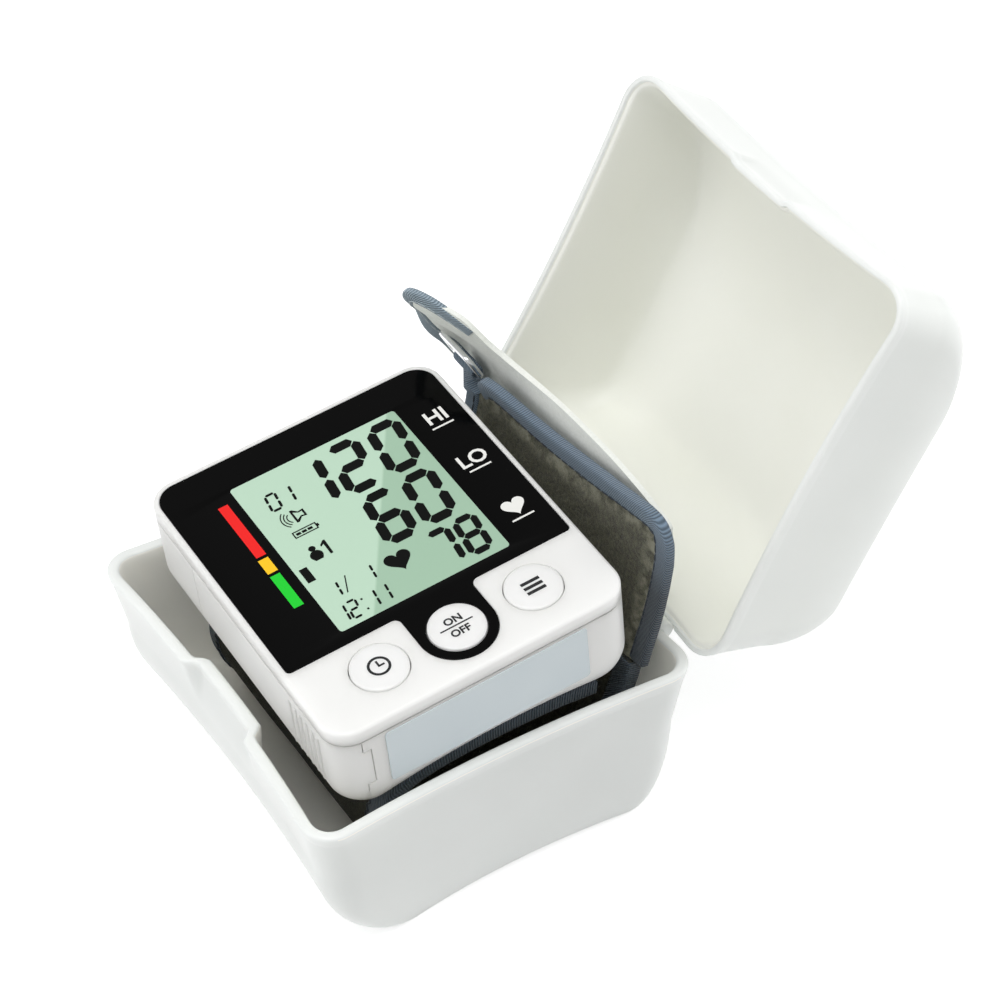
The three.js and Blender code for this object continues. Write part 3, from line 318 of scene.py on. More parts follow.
def shell_ring_points(s, depth, sweep, inset, crown_share):
    """Points of every ring at once. Each side's inset is its draft times the depth down to where
    the sweep starts, plus its own sweep size times the sweep, plus the inset of the wall."""
    depth, sweep, inset, crown_share = (
        np.asarray(v, float)[:, None] for v in (depth, sweep, inset, crown_share)
    )
    drafted = np.minimum(depth, s["tall"] - s["rise"])
    front = s["front"][0] * drafted + s["front"][1] * sweep + inset
    rear = s["rear"][0] * drafted + s["rear"][1] * sweep + inset
    side = s["side"][0] * drafted + s["side"][1] * sweep + inset
    half_x = RIM_X - (front + rear) / 2
    half_y = RIM_Y - side
    corner = np.maximum(s["corner"] - inset, 1.0) * (1 - sweep / 2)
    x = CENTRES[:, 0] * (half_x - corner) + DIRECTIONS[:, 0] * corner
    y = CENTRES[:, 1] * (half_y - corner) + DIRECTIONS[:, 1] * corner
    bow = s["bow"] * (1 - s["bow_fade"] * smooth(depth / s["tall"]))
    x, y = (
        x * (1 - bow / half_x * (1 - (y / half_y) ** 2)),
        y * (1 - bow / half_y * (1 - (x / half_x) ** 2)),
    )
    near_recess = smooth((s["recess_half"] - np.abs(y - s["recess_y"])) / s["recess_ramp"])
    pressed = np.where(x < 0, near_recess, 0.0)
    push = s["recess_deep"] * (1 - smooth(depth / s["recess_tall"]))
    crown = s["crown"] * (1 - (x / RIM_X) ** 2) * (1 - (y / RIM_Y) ** 2)
    z = -depth - crown * crown_share
    return np.stack([x + (front - rear) / 2 + push * pressed, y, z + 0 * x], -1)


# How many rings turn the wall into the bottom, run up the wall and cross the bottom.
TURN_ROWS, WALL_ROWS, FLOOR_ROWS = 26, 12, 13
# The rim's lip swells out over a run of depths, and easing sets in over a run of the sweep.
LIP_FROM, LIP_RUN = 2.5, 0.9
EASE_FROM, EASE_RUN = 0.45, 0.4


def shell_surface(s):
    """The closed wall: rings up the outside, over the rim, down the inside, closed at both middles.
    With ease, the rings of the bottom and of the turn into it move towards the mean of their
    neighbours, over and over, which takes out the crease between them."""
    wall, rise, tall = s["wall"], s["rise"], s["tall"]
    straight = tall - rise
    rows = [
        (straight + rise * math.sin(a), 1 - math.cos(a), 0.0, smooth(1 - math.cos(a)))
        for a in np.linspace(math.pi / 2, 0, TURN_ROWS)
    ]
    rows += [(d, 0.0, 0.0, 0.0) for d in np.linspace(straight, 3.2, WALL_ROWS)[1:]]
    for d in (2.7, 2.4, 2.1, 1.8, 1.5):
        rows.append((d, 0.0, -s["lip"] * float(smooth((LIP_FROM - d) / LIP_RUN)), 0.0))
    edge = s["edge"]
    for a in np.linspace(0, math.pi / 2, 7):
        rows.append((edge * (1 - math.sin(a)), 0.0, -s["lip"] + edge * (1 - math.cos(a)), 0.0))
    rows += [(d, 0.0, inset, 0.0) for d, inset in s["mouth"]]
    rows += [(d, 0.0, wall, 0.0) for d in np.linspace(3.0, straight, WALL_ROWS)]
    for a in np.linspace(0, math.pi / 2, TURN_ROWS)[1:]:
        rows.append(
            (straight + (rise - wall) * math.sin(a), 1 - math.cos(a), wall, smooth(1 - math.cos(a)))
        )
    depth, sweep, inset, crown_share = np.array(rows, float).T
    rings = shell_ring_points(s, depth, sweep, inset, crown_share)
    floors = []
    for ring, level, order in ((rings[0], tall, -1), (rings[-1], tall - wall, 1)):
        middle = ring.mean(0)
        shares = np.linspace(1, 0.06, FLOOR_ROWS + 1)[1:][::order]
        flat = middle[:2] + (ring[None, :, :2] - middle[:2]) * shares[:, None, None]
        crown = s["crown"] * (1 - (flat[..., 0] / RIM_X) ** 2) * (1 - (flat[..., 1] / RIM_Y) ** 2)
        floors.append(np.concatenate([flat, (-level - crown)[..., None]], -1))
    ends = np.ones(FLOOR_ROWS)
    soft = np.concatenate([ends, smooth((sweep - EASE_FROM) / EASE_RUN), ends])[:, None, None]
    rings = np.concatenate([floors[0], rings, floors[1]])
    for _ in range(s["ease"]):
        mean = (np.roll(rings, 1, 0) + np.roll(rings, -1, 0)) / 2
        mean[[0, -1]] = rings[[0, -1]]
        rings = rings + soft * (mean - rings) / 2
    return skin(rings)


# %% [markdown]
# The two shells differ only in these sizes. A side's pair is its draft and how far its foot sweeps
# in. The mouth's rows are a depth below the rim and the wall's inset there.

# %% Sizes of the two shells
base_sizes = {
    "tall": BASE_TALL, "rise": 23.0, "wall": 2.3, "corner": 7.0, "bow": 2.1, "bow_fade": 0.0,
    "front": (0.19, 18.5), "rear": (0.20, 7.6), "side": (0.03, 4.2), "crown": 0.0, "ease": 0,
    "recess_y": -1.4, "recess_half": 11.8, "recess_ramp": 2.4, "recess_deep": 2.3,
    "recess_tall": 12.0, "lip": 0.18, "edge": 0.75,
    "mouth": [(0.0, 1.5), (0.03, 1.75), (0.16, 2.02), (0.4, 2.2), (0.8, 2.28), (1.6, 2.3)],
}
lid_sizes = {
    "tall": 30.5, "rise": 17.0, "wall": 1.9, "corner": 8.0, "bow": 1.9, "bow_fade": 0.7,
    "front": (0.14, 31.0), "rear": (0.13, 10.2), "side": (0.05, 4.0), "crown": 6.8, "ease": 24,
    "recess_y": -1.9, "recess_half": 8.6, "recess_ramp": 1.3, "recess_deep": 0.75,
    "recess_tall": 9.0, "lip": 0.12, "edge": 0.6,
    "mouth": [
        (0.0, 0.95), (0.08, 1.1), (0.7, 1.15), (0.95, 1.2),
        (1.05, 1.45), (1.12, 1.7), (1.35, 1.88), (2.0, 1.9),
    ],
}


# A face is an inner one where it looks inward or along the axis by more than these, and lies
# deeper than the band round the rim.
INWARD, LEVEL_ENOUGH, RIM_BAND = 4.0, 0.3, 0.45


def inner_faces(obj, inner_material, test):
    """Gives the faces whose middle passes a test of place and normal the inner material."""
    obj.data.materials.append(inner_material)
    polygons = obj.data.polygons
    inside = test(vectors_of(polygons, "center") / MM, vectors_of(polygons, "normal"))
    polygons.foreach_set("material_index", inside.astype(np.int32))
    return int(inside.sum())


# %% [markdown]
# The hinge is two stations along the back. At each one a knuckle of the base and a knuckle of the
# lid share a steel pin, and each shell is notched where the other's knuckle turns. The notches are
# cut from the finished shells with turned cutters, as the real tool leaves them out.

# %% Hinge sizes, cutters and the cut
HINGE_X, HINGE_Z = RIM_X - 0.35, BASE_TALL - 1.46
LID_OPEN = math.radians(118.9)
STATION = 0.566 * RIM_Y
KNUCKLE, KNUCKLE_WIDE, KNUCKLE_GAP = 2.1, 6.0, 0.15
NOTCH_ROOM, RIM_GAP = 0.3, 0.3


def turned_bar(profile):
    """A profile of (place along Y, radius) turned round the hinge's axis."""
    along, radius = np.array(profile, float).T
    a = np.linspace(0, 2 * math.pi, 40, endpoint=False)
    x = HINGE_X + radius[:, None] * np.cos(a)
    z = HINGE_Z + radius[:, None] * np.sin(a)
    return skin(np.stack([x, np.repeat(along[:, None], len(a), 1), z], -1))


def cut_with(obj, cutters):
    """Subtracts closed cutter meshes from a piece and keeps the result as its own mesh."""
    for cutter in cutters:
        modifier = obj.modifiers.new("cut", "BOOLEAN")
        modifier.operation = "DIFFERENCE"
        modifier.solver = "EXACT"
        modifier.object = cutter
    depsgraph = bpy.context.evaluated_depsgraph_get()
    cut = bpy.data.meshes.new_from_object(obj.evaluated_get(depsgraph))
    obj.modifiers.clear()
    obj.data = cut
    for cutter in cutters:
        bpy.data.objects.remove(cutter)
    obj.data.shade_smooth()
    obj.data.set_sharp_from_angle(angle=math.radians(38))


def notch_cutters(inner, outer):
    """Bars round the hinge axis at both stations, from the inner to the outer end of a notch."""
    made = []
    for sign in (-1, 1):
        ends = sorted((sign * (STATION + inner), sign * (STATION + outer)))
        points, faces = turned_bar([(end, KNUCKLE + NOTCH_ROOM) for end in ends])
        made.append(piece("notch_cutter", points, faces, None, case_abs))
    return made


def open_lid(points):
    """Turns points of the closed lid about the hinge to where the open lid rests."""
    p = np.array(points, float)
    x, z = p[..., 0] - HINGE_X, p[..., 2] - HINGE_Z
    c, s = math.cos(LID_OPEN), math.sin(LID_OPEN)
    p[..., 0] = HINGE_X + x * c + z * s
    p[..., 2] = HINGE_Z - x * s + z * c
    return p


# %% [markdown]
# The base is the surface from its own sizes, notched where the lid's knuckles turn.

# %% The base shell
points, faces = shell_surface(base_sizes)
points[:, 2] += BASE_TALL
base_shell = piece("base_shell", points, faces, None, case_abs, ("case_base",))
cut_with(base_shell, notch_cutters(-KNUCKLE_WIDE - NOTCH_ROOM, KNUCKLE_GAP))


def faces_inside_base(centre, normal):
    """Faces of the base that look towards its own middle or up from its floor."""
    toward = -(normal[:, 0] * centre[:, 0] + normal[:, 1] * centre[:, 1])
    floor = (normal[:, 2] > LEVEL_ENOUGH) & (centre[:, 2] > 1.0)
    return ((toward > INWARD) | floor) & (centre[:, 2] < BASE_TALL - RIM_BAND)


print("base inner faces:", inner_faces(base_shell, base_inside_painted_bounce_abs, faces_inside_base))
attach(base_shell, "case_base")

# %% [markdown]
# The lid is drawn closed, upside down over the base, and then turned about the hinge to its rest.

# %% The lid shell
points, faces = shell_surface(lid_sizes)
points = points * [1, -1, -1] + [0, 0, BASE_TALL + RIM_GAP]
lid_shell = piece("lid_shell", points, faces, None, case_abs, ("case_lid",))
cut_with(lid_shell, notch_cutters(-KNUCKLE_GAP, KNUCKLE_WIDE + NOTCH_ROOM))


def faces_inside_lid(centre, normal):
    """Faces of the closed lid that look towards its middle or down from its crown."""
    toward = -(normal[:, 0] * centre[:, 0] + normal[:, 1] * centre[:, 1])
    crown = normal[:, 2] < -LEVEL_ENOUGH
    return ((toward > INWARD) | crown) & (centre[:, 2] > BASE_TALL + RIM_GAP + RIM_BAND)


print("lid inner faces:", inner_faces(lid_shell, lid_inside_painted_bounce_abs, faces_inside_lid))
opened = open_lid(vectors_of(lid_shell.data.vertices, "co") / MM) * MM
lid_shell.data.vertices.foreach_set("co", opened.ravel())
lid_shell.data.update()
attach(lid_shell, "case_lid")

# %% [markdown]
# A knuckle is a short turned bar with rounded ends. The base's knuckles stand on a web down its back
# and the lid's on an arm that reaches up its wall.

# %% Knuckles and the arms that carry them
WALL_AT_HINGE = RIM_X - base_sizes["bow"] * (1 - (STATION / RIM_Y) ** 2)
WALL_IN = WALL_AT_HINGE - 1.1
ARM_RISE = 5.5


def prism_along_y(outline, low, high):
    """An outline of (x, z) points carried along Y between two places."""
    outline = np.array(outline, float)
    ends = [np.insert(outline, 1, y, axis=1) for y in (low, high)]
    count = len(outline)
    faces = grid_faces(2, count, loop_columns=True)
    faces += [list(range(count)), list(range(count, 2 * count))]
    return np.vstack(ends), faces


base_web = [
    (WALL_IN, HINGE_Z - 2 * KNUCKLE),
    (WALL_AT_HINGE + 0.2, HINGE_Z - 2 * KNUCKLE),
    (HINGE_X + 0.6, HINGE_Z - 1.7),
    (HINGE_X, HINGE_Z + 1.2),
    (WALL_IN, HINGE_Z + 1.2),
]
lid_arm = [
    (HINGE_X + KNUCKLE, HINGE_Z),
    (HINGE_X + KNUCKLE, BASE_TALL + ARM_RISE / 2),
    (WALL_IN, BASE_TALL + ARM_RISE),
    (WALL_IN, BASE_TALL + RIM_GAP),
    (WALL_AT_HINGE + 0.6, BASE_TALL + RIM_GAP),
    (WALL_AT_HINGE + 0.6, HINGE_Z),
]
for side, sign in (("near", -1), ("far", 1)):
    for owner, inner, outer, web in (
        ("base", KNUCKLE_GAP, KNUCKLE_WIDE, base_web),
        ("lid", -KNUCKLE_WIDE, -KNUCKLE_GAP, lid_arm),
    ):
        low, high = sorted((sign * (STATION + inner), sign * (STATION + outer)))
        round_over = 0.35
        profile = [
            (low, 1.0),
            (low, KNUCKLE - round_over),
            (low + round_over * 0.3, KNUCKLE - round_over * 0.3),
            (low + round_over, KNUCKLE),
            (high - round_over, KNUCKLE),
            (high - round_over * 0.3, KNUCKLE - round_over * 0.3),
            (high, KNUCKLE - round_over),
            (high, 1.0),
        ]
        barrel, barrel_faces = turned_bar(profile)
        arm, arm_faces = prism_along_y(web, low, high)
        if owner == "lid":
            barrel, arm = open_lid(barrel), open_lid(arm)
        piece(f"{owner}_knuckle_{side}", barrel, barrel_faces, "case_" + owner, case_abs)
        bevel(piece(f"{owner}_arm_{side}", arm, arm_faces, "case_" + owner, case_abs), 0.3)

# %% [markdown]
# ## The monitor's own frame
# The monitor lies a little crooked on its cuff: higher at the hinge side and turned by less than a
# degree. Its pieces are worked out flat, face up at height zero, and one function lays them down.

# %% Monitor frame and outlines
TILT_X, TILT_Y, TURN_Z = (math.radians(v) for v in (0.95, -5.7, -0.8))
MONITOR_TURN = np.array(
    Matrix.Rotation(TURN_Z, 3, "Z") @ Matrix.Rotation(TILT_Y, 3, "Y") @ Matrix.Rotation(TILT_X, 3, "X")
)
MONITOR_PLACE = np.array([-2.7, -1.6, BASE_TALL + 21.6])
BODY_X, BODY_Y, BODY_DEEP, BODY_CORNER = 30.4, 35.75, 21.3, 5.5


def on_monitor(points):
    """Takes points from the monitor's flat frame to where the tilted monitor lies."""
    return np.asarray(points, float) @ MONITOR_TURN.T + MONITOR_PLACE


def arc(x, y, radius, start, end, steps=12):
    """Points on an arc, from one angle to another in degrees."""
    a = np.radians(np.linspace(start, end, steps))
    return np.stack([x + radius * np.cos(a), y + radius * np.sin(a)], 1)


def round_box(half_x, half_y, corner, x=0.0, y=0.0):
    """A rounded rectangle, anticlockwise."""
    corners = ((1, 1, 0), (-1, 1, 90), (-1, -1, 180), (1, -1, 270))
    return np.vstack(
        [
            arc(x + sx * (half_x - corner), y + sy * (half_y - corner), corner, a, a + 90)
            for sx, sy, a in corners
        ]
    )


def offset_loop(loop, inset):
    """Moves a closed line sideways: inward where it runs anticlockwise, outward where clockwise."""
    following, previous = np.roll(loop, -1, 0), np.roll(loop, 1, 0)
    along = following - previous
    length = np.linalg.norm(along, axis=1, keepdims=True)
    outward = np.stack([along[:, 1], -along[:, 0]], 1) / np.maximum(length, 1e-9)
    return loop - outward * inset


def even_loop(loop, step):
    """The same closed line with extra points, so that none of its stretches is over a step long."""
    following = np.roll(loop, -1, 0)
    counts = np.maximum(np.ceil(np.linalg.norm(following - loop, axis=1) / step), 1).astype(int)
    return np.vstack(
        [a + (b - a) * np.arange(n)[:, None] / n for a, b, n in zip(loop, following, counts)]
    )


def plate(loops, profiles, top=0.0):
    """A flat piece with rounded edges. Round each loop a profile of (inset, depth) rows goes from
    the top face to the underside, and both faces are filled between the loops."""
    points, faces, tops, bottoms = [], [], [], []
    first = 0
    for loop, profile in zip(loops, profiles):
        loop = even_loop(np.asarray(loop, float), 2.5)
        rows = [
            np.column_stack([offset_loop(loop, inset), np.full(len(loop), top - depth)])
            for inset, depth in profile
        ]
        points += rows
        faces += grid_faces(len(rows), len(loop), loop_columns=True, first=first)
        tops.append(first + np.arange(len(loop)))
        bottoms.append(first + (len(rows) - 1) * len(loop) + np.arange(len(loop)))
        first += len(rows) * len(loop)
    points = np.vstack(points)
    for rings in (tops, bottoms):
        index = np.concatenate(rings)
        lines = [[Vector(points[i]) for i in ring] for ring in rings]
        faces += [[int(index[i]) for i in tri] for tri in tessellate_polygon(lines)]
    return points, faces


def edge_profile(radius, thick):
    """Rows for an edge that is rounded at the top, straight below and just broken at its foot. A
    row of support on either face keeps the shading of the flat part flat."""
    foot, support = 0.05, 0.06
    rows = [(radius + support, 0.0)]
    for a in np.linspace(0, math.pi / 2, 5):
        rows.append((radius * (1 - math.sin(a)), radius * (1 - math.cos(a))))
    return rows + [(0.0, thick - foot), (foot, thick), (foot + support, thick)]


# %% [markdown]
# ## The front of the monitor
# The front moulding is a white plate with softly rounded edges. It frames a black window on three
# sides, widens to a bar for the buttons, and the window's lower edge drops round the middle button.

# %% Front moulding
LENS_X, LENS_TOP, LENS_FOOT = 29.3, 34.65, -17.6
ROW_X, ROW_Y, PITCH, BUTTON = 0.45, -25.4, 15.8, 5.35
BUTTON_HOLE = BUTTON + 0.2
RING, NECK, FOOT_ROUND, LENS_CORNER = 7.5, 1.4, 1.0, 4.4


def lens_loop(shrink):
    """The window's outline, anticlockwise, drawn in from the opening's edge by a small amount."""
    x, top, foot, ring = LENS_X - shrink, LENS_TOP - shrink, LENS_FOOT + shrink, RING - shrink
    neck = NECK + shrink
    c = LENS_CORNER - shrink
    f = FOOT_ROUND
    return np.vstack(
        [
            arc(x - c, top - c, c, 0, 90),
            arc(c - x, top - c, c, 90, 180),
            arc(f - x, foot + f, f, 180, 270),
            arc(ROW_X - ring - neck, foot - neck, neck, 90, 0),
            arc(ROW_X, ROW_Y, ring, 180, 360, 40),
            arc(ROW_X + ring + neck, foot - neck, neck, 180, 90),
            arc(x - f, foot + f, f, 270, 360),
        ]
    )


def circle(x, y, radius, steps=64):
    """A circle, anticlockwise, without its last point doubled."""
    return arc(x, y, radius, 0, 360, steps + 1)[:-1]


FACE_ROUND = 0.66
face_edge = [(FACE_ROUND + 0.06, 0.0)]
for a in np.linspace(0, math.pi / 2, 9):
    face_edge.append((FACE_ROUND * (1 - math.sin(a)), FACE_ROUND * (1 - math.cos(a))))
face_edge += [(0.0, 1.6), (0.0, 2.95), (0.05, 3.04), (0.14, 3.08), (1.4, 3.08), (1.5, 2.0)]
hole_edge = edge_profile(0.12, 2.0)
button_holes = [circle(ROW_X + i * PITCH, ROW_Y, BUTTON_HOLE)[::-1] for i in (-1, 1)]
points, faces = plate(
    [round_box(BODY_X, BODY_Y, BODY_CORNER), lens_loop(0.0)[::-1], *button_holes],
    [face_edge, hole_edge, hole_edge, hole_edge],
)
front_moulding = piece(
    "front_moulding", on_monitor(points), faces, "monitor", body_abs, ("front_housing",), 30
)

# %% [markdown]
# ## The window and the display
# The window is a sheet of clear acrylic, printed black from behind and left open over the display,
# so black and display share one glossy surface. The display itself is a reflective liquid crystal:
# a grey-green ground with near black segments. The ground is paler on one side of a diagonal line,
# as a painted sheen.

# %% Window and display materials
lens_black, tree, surface = new_material("printed_acrylic_window", 0.12, "#020202", IOR=1.49)
raise_surface(tree, surface, speckle(tree, 9.0, 1.0), 0.006, 0.4)
surface.inputs["Specular IOR Level"].default_value = 0.1

display_ground, tree, surface = new_material("reflective_display", 0.22, "#B0CFB6", IOR=1.49)
place = place_in_mm(tree)
# Painted sheen: the ground turns paler across a diagonal line on the display.
painted_sheen_across = {"operation": "DOT_PRODUCT", 1: (-0.83, 0.55, 0.0)}
painted_sheen_line = add(tree, "ShaderNodeVectorMath", painted_sheen_across, i0=place).outputs["Value"]
painted_sheen_step = {"From Min": 1.6, "From Max": 2.3, "interpolation_type": "SMOOTHSTEP"}
sheen = add(tree, "ShaderNodeMapRange", painted_sheen_step, Value=painted_sheen_line)
ground_and_painted_sheen = between(tree, sheen.outputs[0], "#9DBCA4", "#B6D2BC")
tree.links.new(ground_and_painted_sheen, surface.inputs["Base Color"])
raise_surface(tree, surface, speckle(tree, 0.3, 2.0), 0.002, 0.4)

segment_black, tree, surface = new_material("display_segments", 0.3, "#050605", IOR=1.49)
surface.inputs["Specular IOR Level"].default_value = 0.15
faint = between(tree, speckle(tree, 0.4, 2.0), "#020302", "#080A08")
tree.links.new(faint, surface.inputs["Base Color"])

# %% [markdown]
# The sheet lies two hundredths of a millimetre below the white face, with a hole for the middle
# button. The display fills its opening from behind.

# %% Window sheet and display
LCD_X, LCD_Y, LCD_HALF_X, LCD_HALF_Y, LCD_CORNER = 0.68, 6.25, 17.55, 20.85, 0.7
lcd_hole = round_box(LCD_HALF_X, LCD_HALF_Y, LCD_CORNER, LCD_X, LCD_Y)[::-1]
sheet_edge = edge_profile(0.1, 1.0)
lcd_hole_edge = [(0.05, 0.0), (0.0, 0.02), (0.0, 1.0), (0.05, 1.0)]
points, faces = plate(
    [lens_loop(0.1), circle(ROW_X, ROW_Y, BUTTON_HOLE)[::-1], lcd_hole],
    [sheet_edge, sheet_edge, lcd_hole_edge],
    top=-0.02,
)
window = piece("window_sheet", on_monitor(points), faces, "monitor", lens_black, ("lens_window",), 30)
points, faces = plate(
    [round_box(LCD_HALF_X + 0.02, LCD_HALF_Y + 0.02, LCD_CORNER, LCD_X, LCD_Y)],
    [[(0.1, 0.0), (0.0, 0.0), (0.0, 0.9), (0.1, 0.9)]],
    top=-0.06,
)
display = piece("display", on_monitor(points), faces, "monitor", display_ground, (), 30)

# %% [markdown]
# ### What the display shows
# Each figure is made of seven segments with pointed ends, leaning a little to the right. The three
# large readings, a small counter, the clock and the date are plain numbers. Beside them are the
# usual small signs: a heart, a loudspeaker, a person and a cell gauge.

# %% Segment figures
SEGMENTS_OF = {
    "0": "abcdef", "1": "bc", "2": "abged", "3": "abgcd", "4": "fgbc", "5": "afgcd",
    "6": "afgedc", "7": "abc", "8": "abcdefg", "9": "abcdfg",
}


LEAN = 0.115


def seven_segments(figure, x, y, wide, tall, across, down, gap):
    """Outlines of a figure's segments. x and y are its middle, wide and tall the distances between
    the segments' middle lines, across and down the segments' thicknesses."""
    half_w, half_h = wide / 2, tall / 2
    ends = {
        "a": ((-half_w, half_h), (half_w, half_h)), "g": ((-half_w, 0), (half_w, 0)),
        "d": ((-half_w, -half_h), (half_w, -half_h)), "f": ((-half_w, 0), (-half_w, half_h)),
        "b": ((half_w, 0), (half_w, half_h)), "e": ((-half_w, -half_h), (-half_w, 0)),
        "c": ((half_w, -half_h), (half_w, 0)),
    }
    outlines = []
    for name in SEGMENTS_OF[figure]:
        start, end = (np.array(p, float) for p in ends[name])
        level = name in "agd"
        thick = down if level else across
        point_long = across if level else down
        length = np.linalg.norm(end - start)
        t = (end - start) / length
        n = np.array([-t[1], t[0]])
        half = thick / 2
        shoulder = gap + point_long * 0.42
        outline = [
            start + t * gap, start + t * shoulder - n * half, end - t * shoulder - n * half,
            end - t * gap, end - t * shoulder + n * half, start + t * shoulder + n * half,
        ]
        outline = np.array(outline)
        outline[:, 0] += LEAN * outline[:, 1]
        outlines.append(outline + [x, y])
    return outlines


def prisms(outlines, low, high):
    """Thin solid plates from flat outlines, between two heights."""
    points, faces, first = [], [], 0
    for outline in outlines:
        outline = np.asarray(outline, float)
        count = len(outline)
        for level in (low, high):
            points.append(np.column_stack([outline, np.full(count, level)]))
        faces += grid_faces(2, count, loop_columns=True, first=first)
        for level, turned in ((0, True), (1, False)):
            ring = list(range(first + level * count, first + (level + 1) * count))
            corners = [Vector((*p, 0.0)) for p in outline]
            for tri in tessellate_polygon([corners]):
                faces.append([ring[i] for i in (tri[::-1] if turned else tri)])
        first += 2 * count
    return np.vstack(points), faces


# Each row: its figures and their places across, then y, wide, tall, across, down and gap.
FIGURE_ROWS = [
    ("120", (-3.35, 4.87, 13.65), 19.1, 5.3, 11.35, 1.95, 2.1, 0.22),
    ("60", (4.2, 12.45), 4.45, 5.2, 11.3, 1.95, 2.1, 0.22),
    ("78", (8.5, 14.1), -8.25, 3.7, 8.35, 1.35, 1.45, 0.16),
    ("01", (-11.55, -8.6), 19.75, 2.0, 4.15, 0.52, 0.56, 0.14),
    ("1211", (-14.6, -12.2, -8.45, -6.0), -11.2, 1.75, 4.0, 0.45, 0.5, 0.14),
    ("11", (-12.9, -5.95), -5.5, 1.75, 3.6, 0.45, 0.5, 0.14),
]
figures = []
for row, places, *sizes in FIGURE_ROWS:
    for figure, x in zip(row, places):
        figures += seven_segments(figure, x, *sizes)

# %% [markdown]
# The small signs are flat outlines: the heart comes from a formula, the rest from arcs and corners.

# %% Signs on the display
def heart(x, y, wide):
    """A heart from the sine-cubed curve, scaled to a width."""
    a = np.linspace(0, 2 * math.pi, 60, endpoint=False)
    hx = 16 * np.sin(a) ** 3
    hy = 13 * np.cos(a) - 5 * np.cos(2 * a) - 2 * np.cos(3 * a) - np.cos(4 * a)
    return np.stack([x + hx * wide / 32, y + hy * wide / 32], 1)[::-1]


def band_arc(x, y, radius, start, end, thick):
    """A curved stroke of even thickness."""
    inner = arc(x, y, radius - thick / 2, start, end, 9)
    outer = arc(x, y, radius + thick / 2, end, start, 9)
    return np.vstack([inner, outer])


def box_outline(x0, y0, x1, y1):
    """A rectangle from its lower left to its upper right corner, anticlockwise."""
    return np.array([(x0, y0), (x1, y0), (x1, y1), (x0, y1)], float)


speaker_horn = [
    (-10.4, 12.7), (-9.9, 12.7), (-9.0, 13.6), (-9.0, 13.95), (-10.0, 13.3),
    (-10.0, 15.4), (-9.0, 14.8), (-9.0, 15.1), (-9.9, 16.05), (-10.4, 16.05),
]
speaker_box = [
    (-9.0, 13.6), (-7.95, 13.4), (-7.95, 15.3), (-9.0, 15.1),
    (-9.0, 14.8), (-8.35, 14.9), (-8.35, 13.8), (-9.0, 13.95),
]
person_number = [
    (-9.15, 2.6), (-8.6, 2.6), (-8.45, 6.3), (-8.85, 6.3), (-9.75, 5.5), (-9.75, 5.05), (-9.1, 5.45),
]
signs = [
    heart(0.05, -5.85, 5.2),
    box_outline(-15.95, -1.3, -14.35, 2.4),
    np.array([(-11.35, -7.2), (-11.1, -7.2), (-9.6, -3.4), (-9.85, -3.4)]),
    box_outline(-10.25, -10.2, -9.85, -9.8),
    box_outline(-10.35, -12.8, -9.95, -12.4),
    np.array(speaker_horn),
    np.array(speaker_box),
    *(band_arc(-10.2, 14.35, r, a, 360 - a, 0.22) for r, a in ((1.35, 125), (1.95, 128), (2.55, 130))),
    circle(-11.4, 5.6, 0.68, 24),
    np.vstack([arc(-11.4, 3.75, 1.25, -35, 215, 20), [(-12.15, 2.55), (-10.65, 2.55)]]),
    np.array(person_number),
    box_outline(-12.6, 9.35, -12.35, 11.05),
    box_outline(-12.35, 9.35, -8.0, 9.6),
    box_outline(-12.35, 10.8, -8.0, 11.05),
    box_outline(-8.0, 9.35, -7.75, 11.05),
    box_outline(-7.75, 9.85, -7.4, 10.55),
    box_outline(-12.05, 9.9, -11.1, 10.5),
    box_outline(-10.85, 9.9, -9.9, 10.5),
    box_outline(-9.65, 9.9, -8.7, 10.5),
]
points, faces = prisms(figures + signs, -0.05, -0.025)
piece("display_segments", on_monitor(points), faces, "monitor", segment_black)

# %% [markdown]
# ### Printing on the window and the buttons
# A bar in red, amber and green beside the display grades the reading. At the right, plain words
# and a heart say which reading is which. The middle button says ON and OFF; the other two carry a
# clock and a pile of records. All of it is thin ink, so it is drawn as thin raised plates.


# %% Inks
def ink(name, colour, roughness=0.4):
    """Screen printing ink: an even colour with a faint grain."""
    material, tree, surface = new_material(name, roughness, colour)
    raise_surface(tree, surface, speckle(tree, 0.2, 2.0), 0.004, 0.5)
    return material


red_ink = ink("red_ink", "#E8100C", 0.3)
amber_ink = ink("amber_ink", "#F2C010", 0.3)
green_ink = ink("green_ink", "#08C828", 0.3)
white_ink = ink("white_ink", "#E6E6E2")
black_ink = ink("black_ink", "#141517")


def lettering(words, x, y, tall, weight=0.02):
    """Plain capital letters as a filled flat mesh, centred on a place. Weight thickens them."""
    curve = bpy.data.curves.new("lettering", "FONT")
    curve.body = words
    curve.resolution_u = 3
    curve.offset = weight
    curve.extrude = 0.01
    maker = bpy.data.objects.new("lettering", curve)
    scene.collection.objects.link(maker)
    bpy.context.view_layer.update()
    mesh = bpy.data.meshes.new_from_object(maker.evaluated_get(bpy.context.evaluated_depsgraph_get()))
    bpy.data.objects.remove(maker)
    points = vectors_of(mesh.vertices, "co")
    faces = [list(p.vertices) for p in mesh.polygons]
    low, high = points.min(0), points.max(0)
    scale = tall / (high[1] - low[1])
    flat = (points[:, :2] - (low[:2] + high[:2]) / 2) * scale + [x, y]
    level = np.where(points[:, 2] > 0, 1.0, 0.0)
    return np.column_stack([flat, level]), faces


WINDOW_INK, CAP_INK = (-0.05, 0.0), (0.36, 0.4)


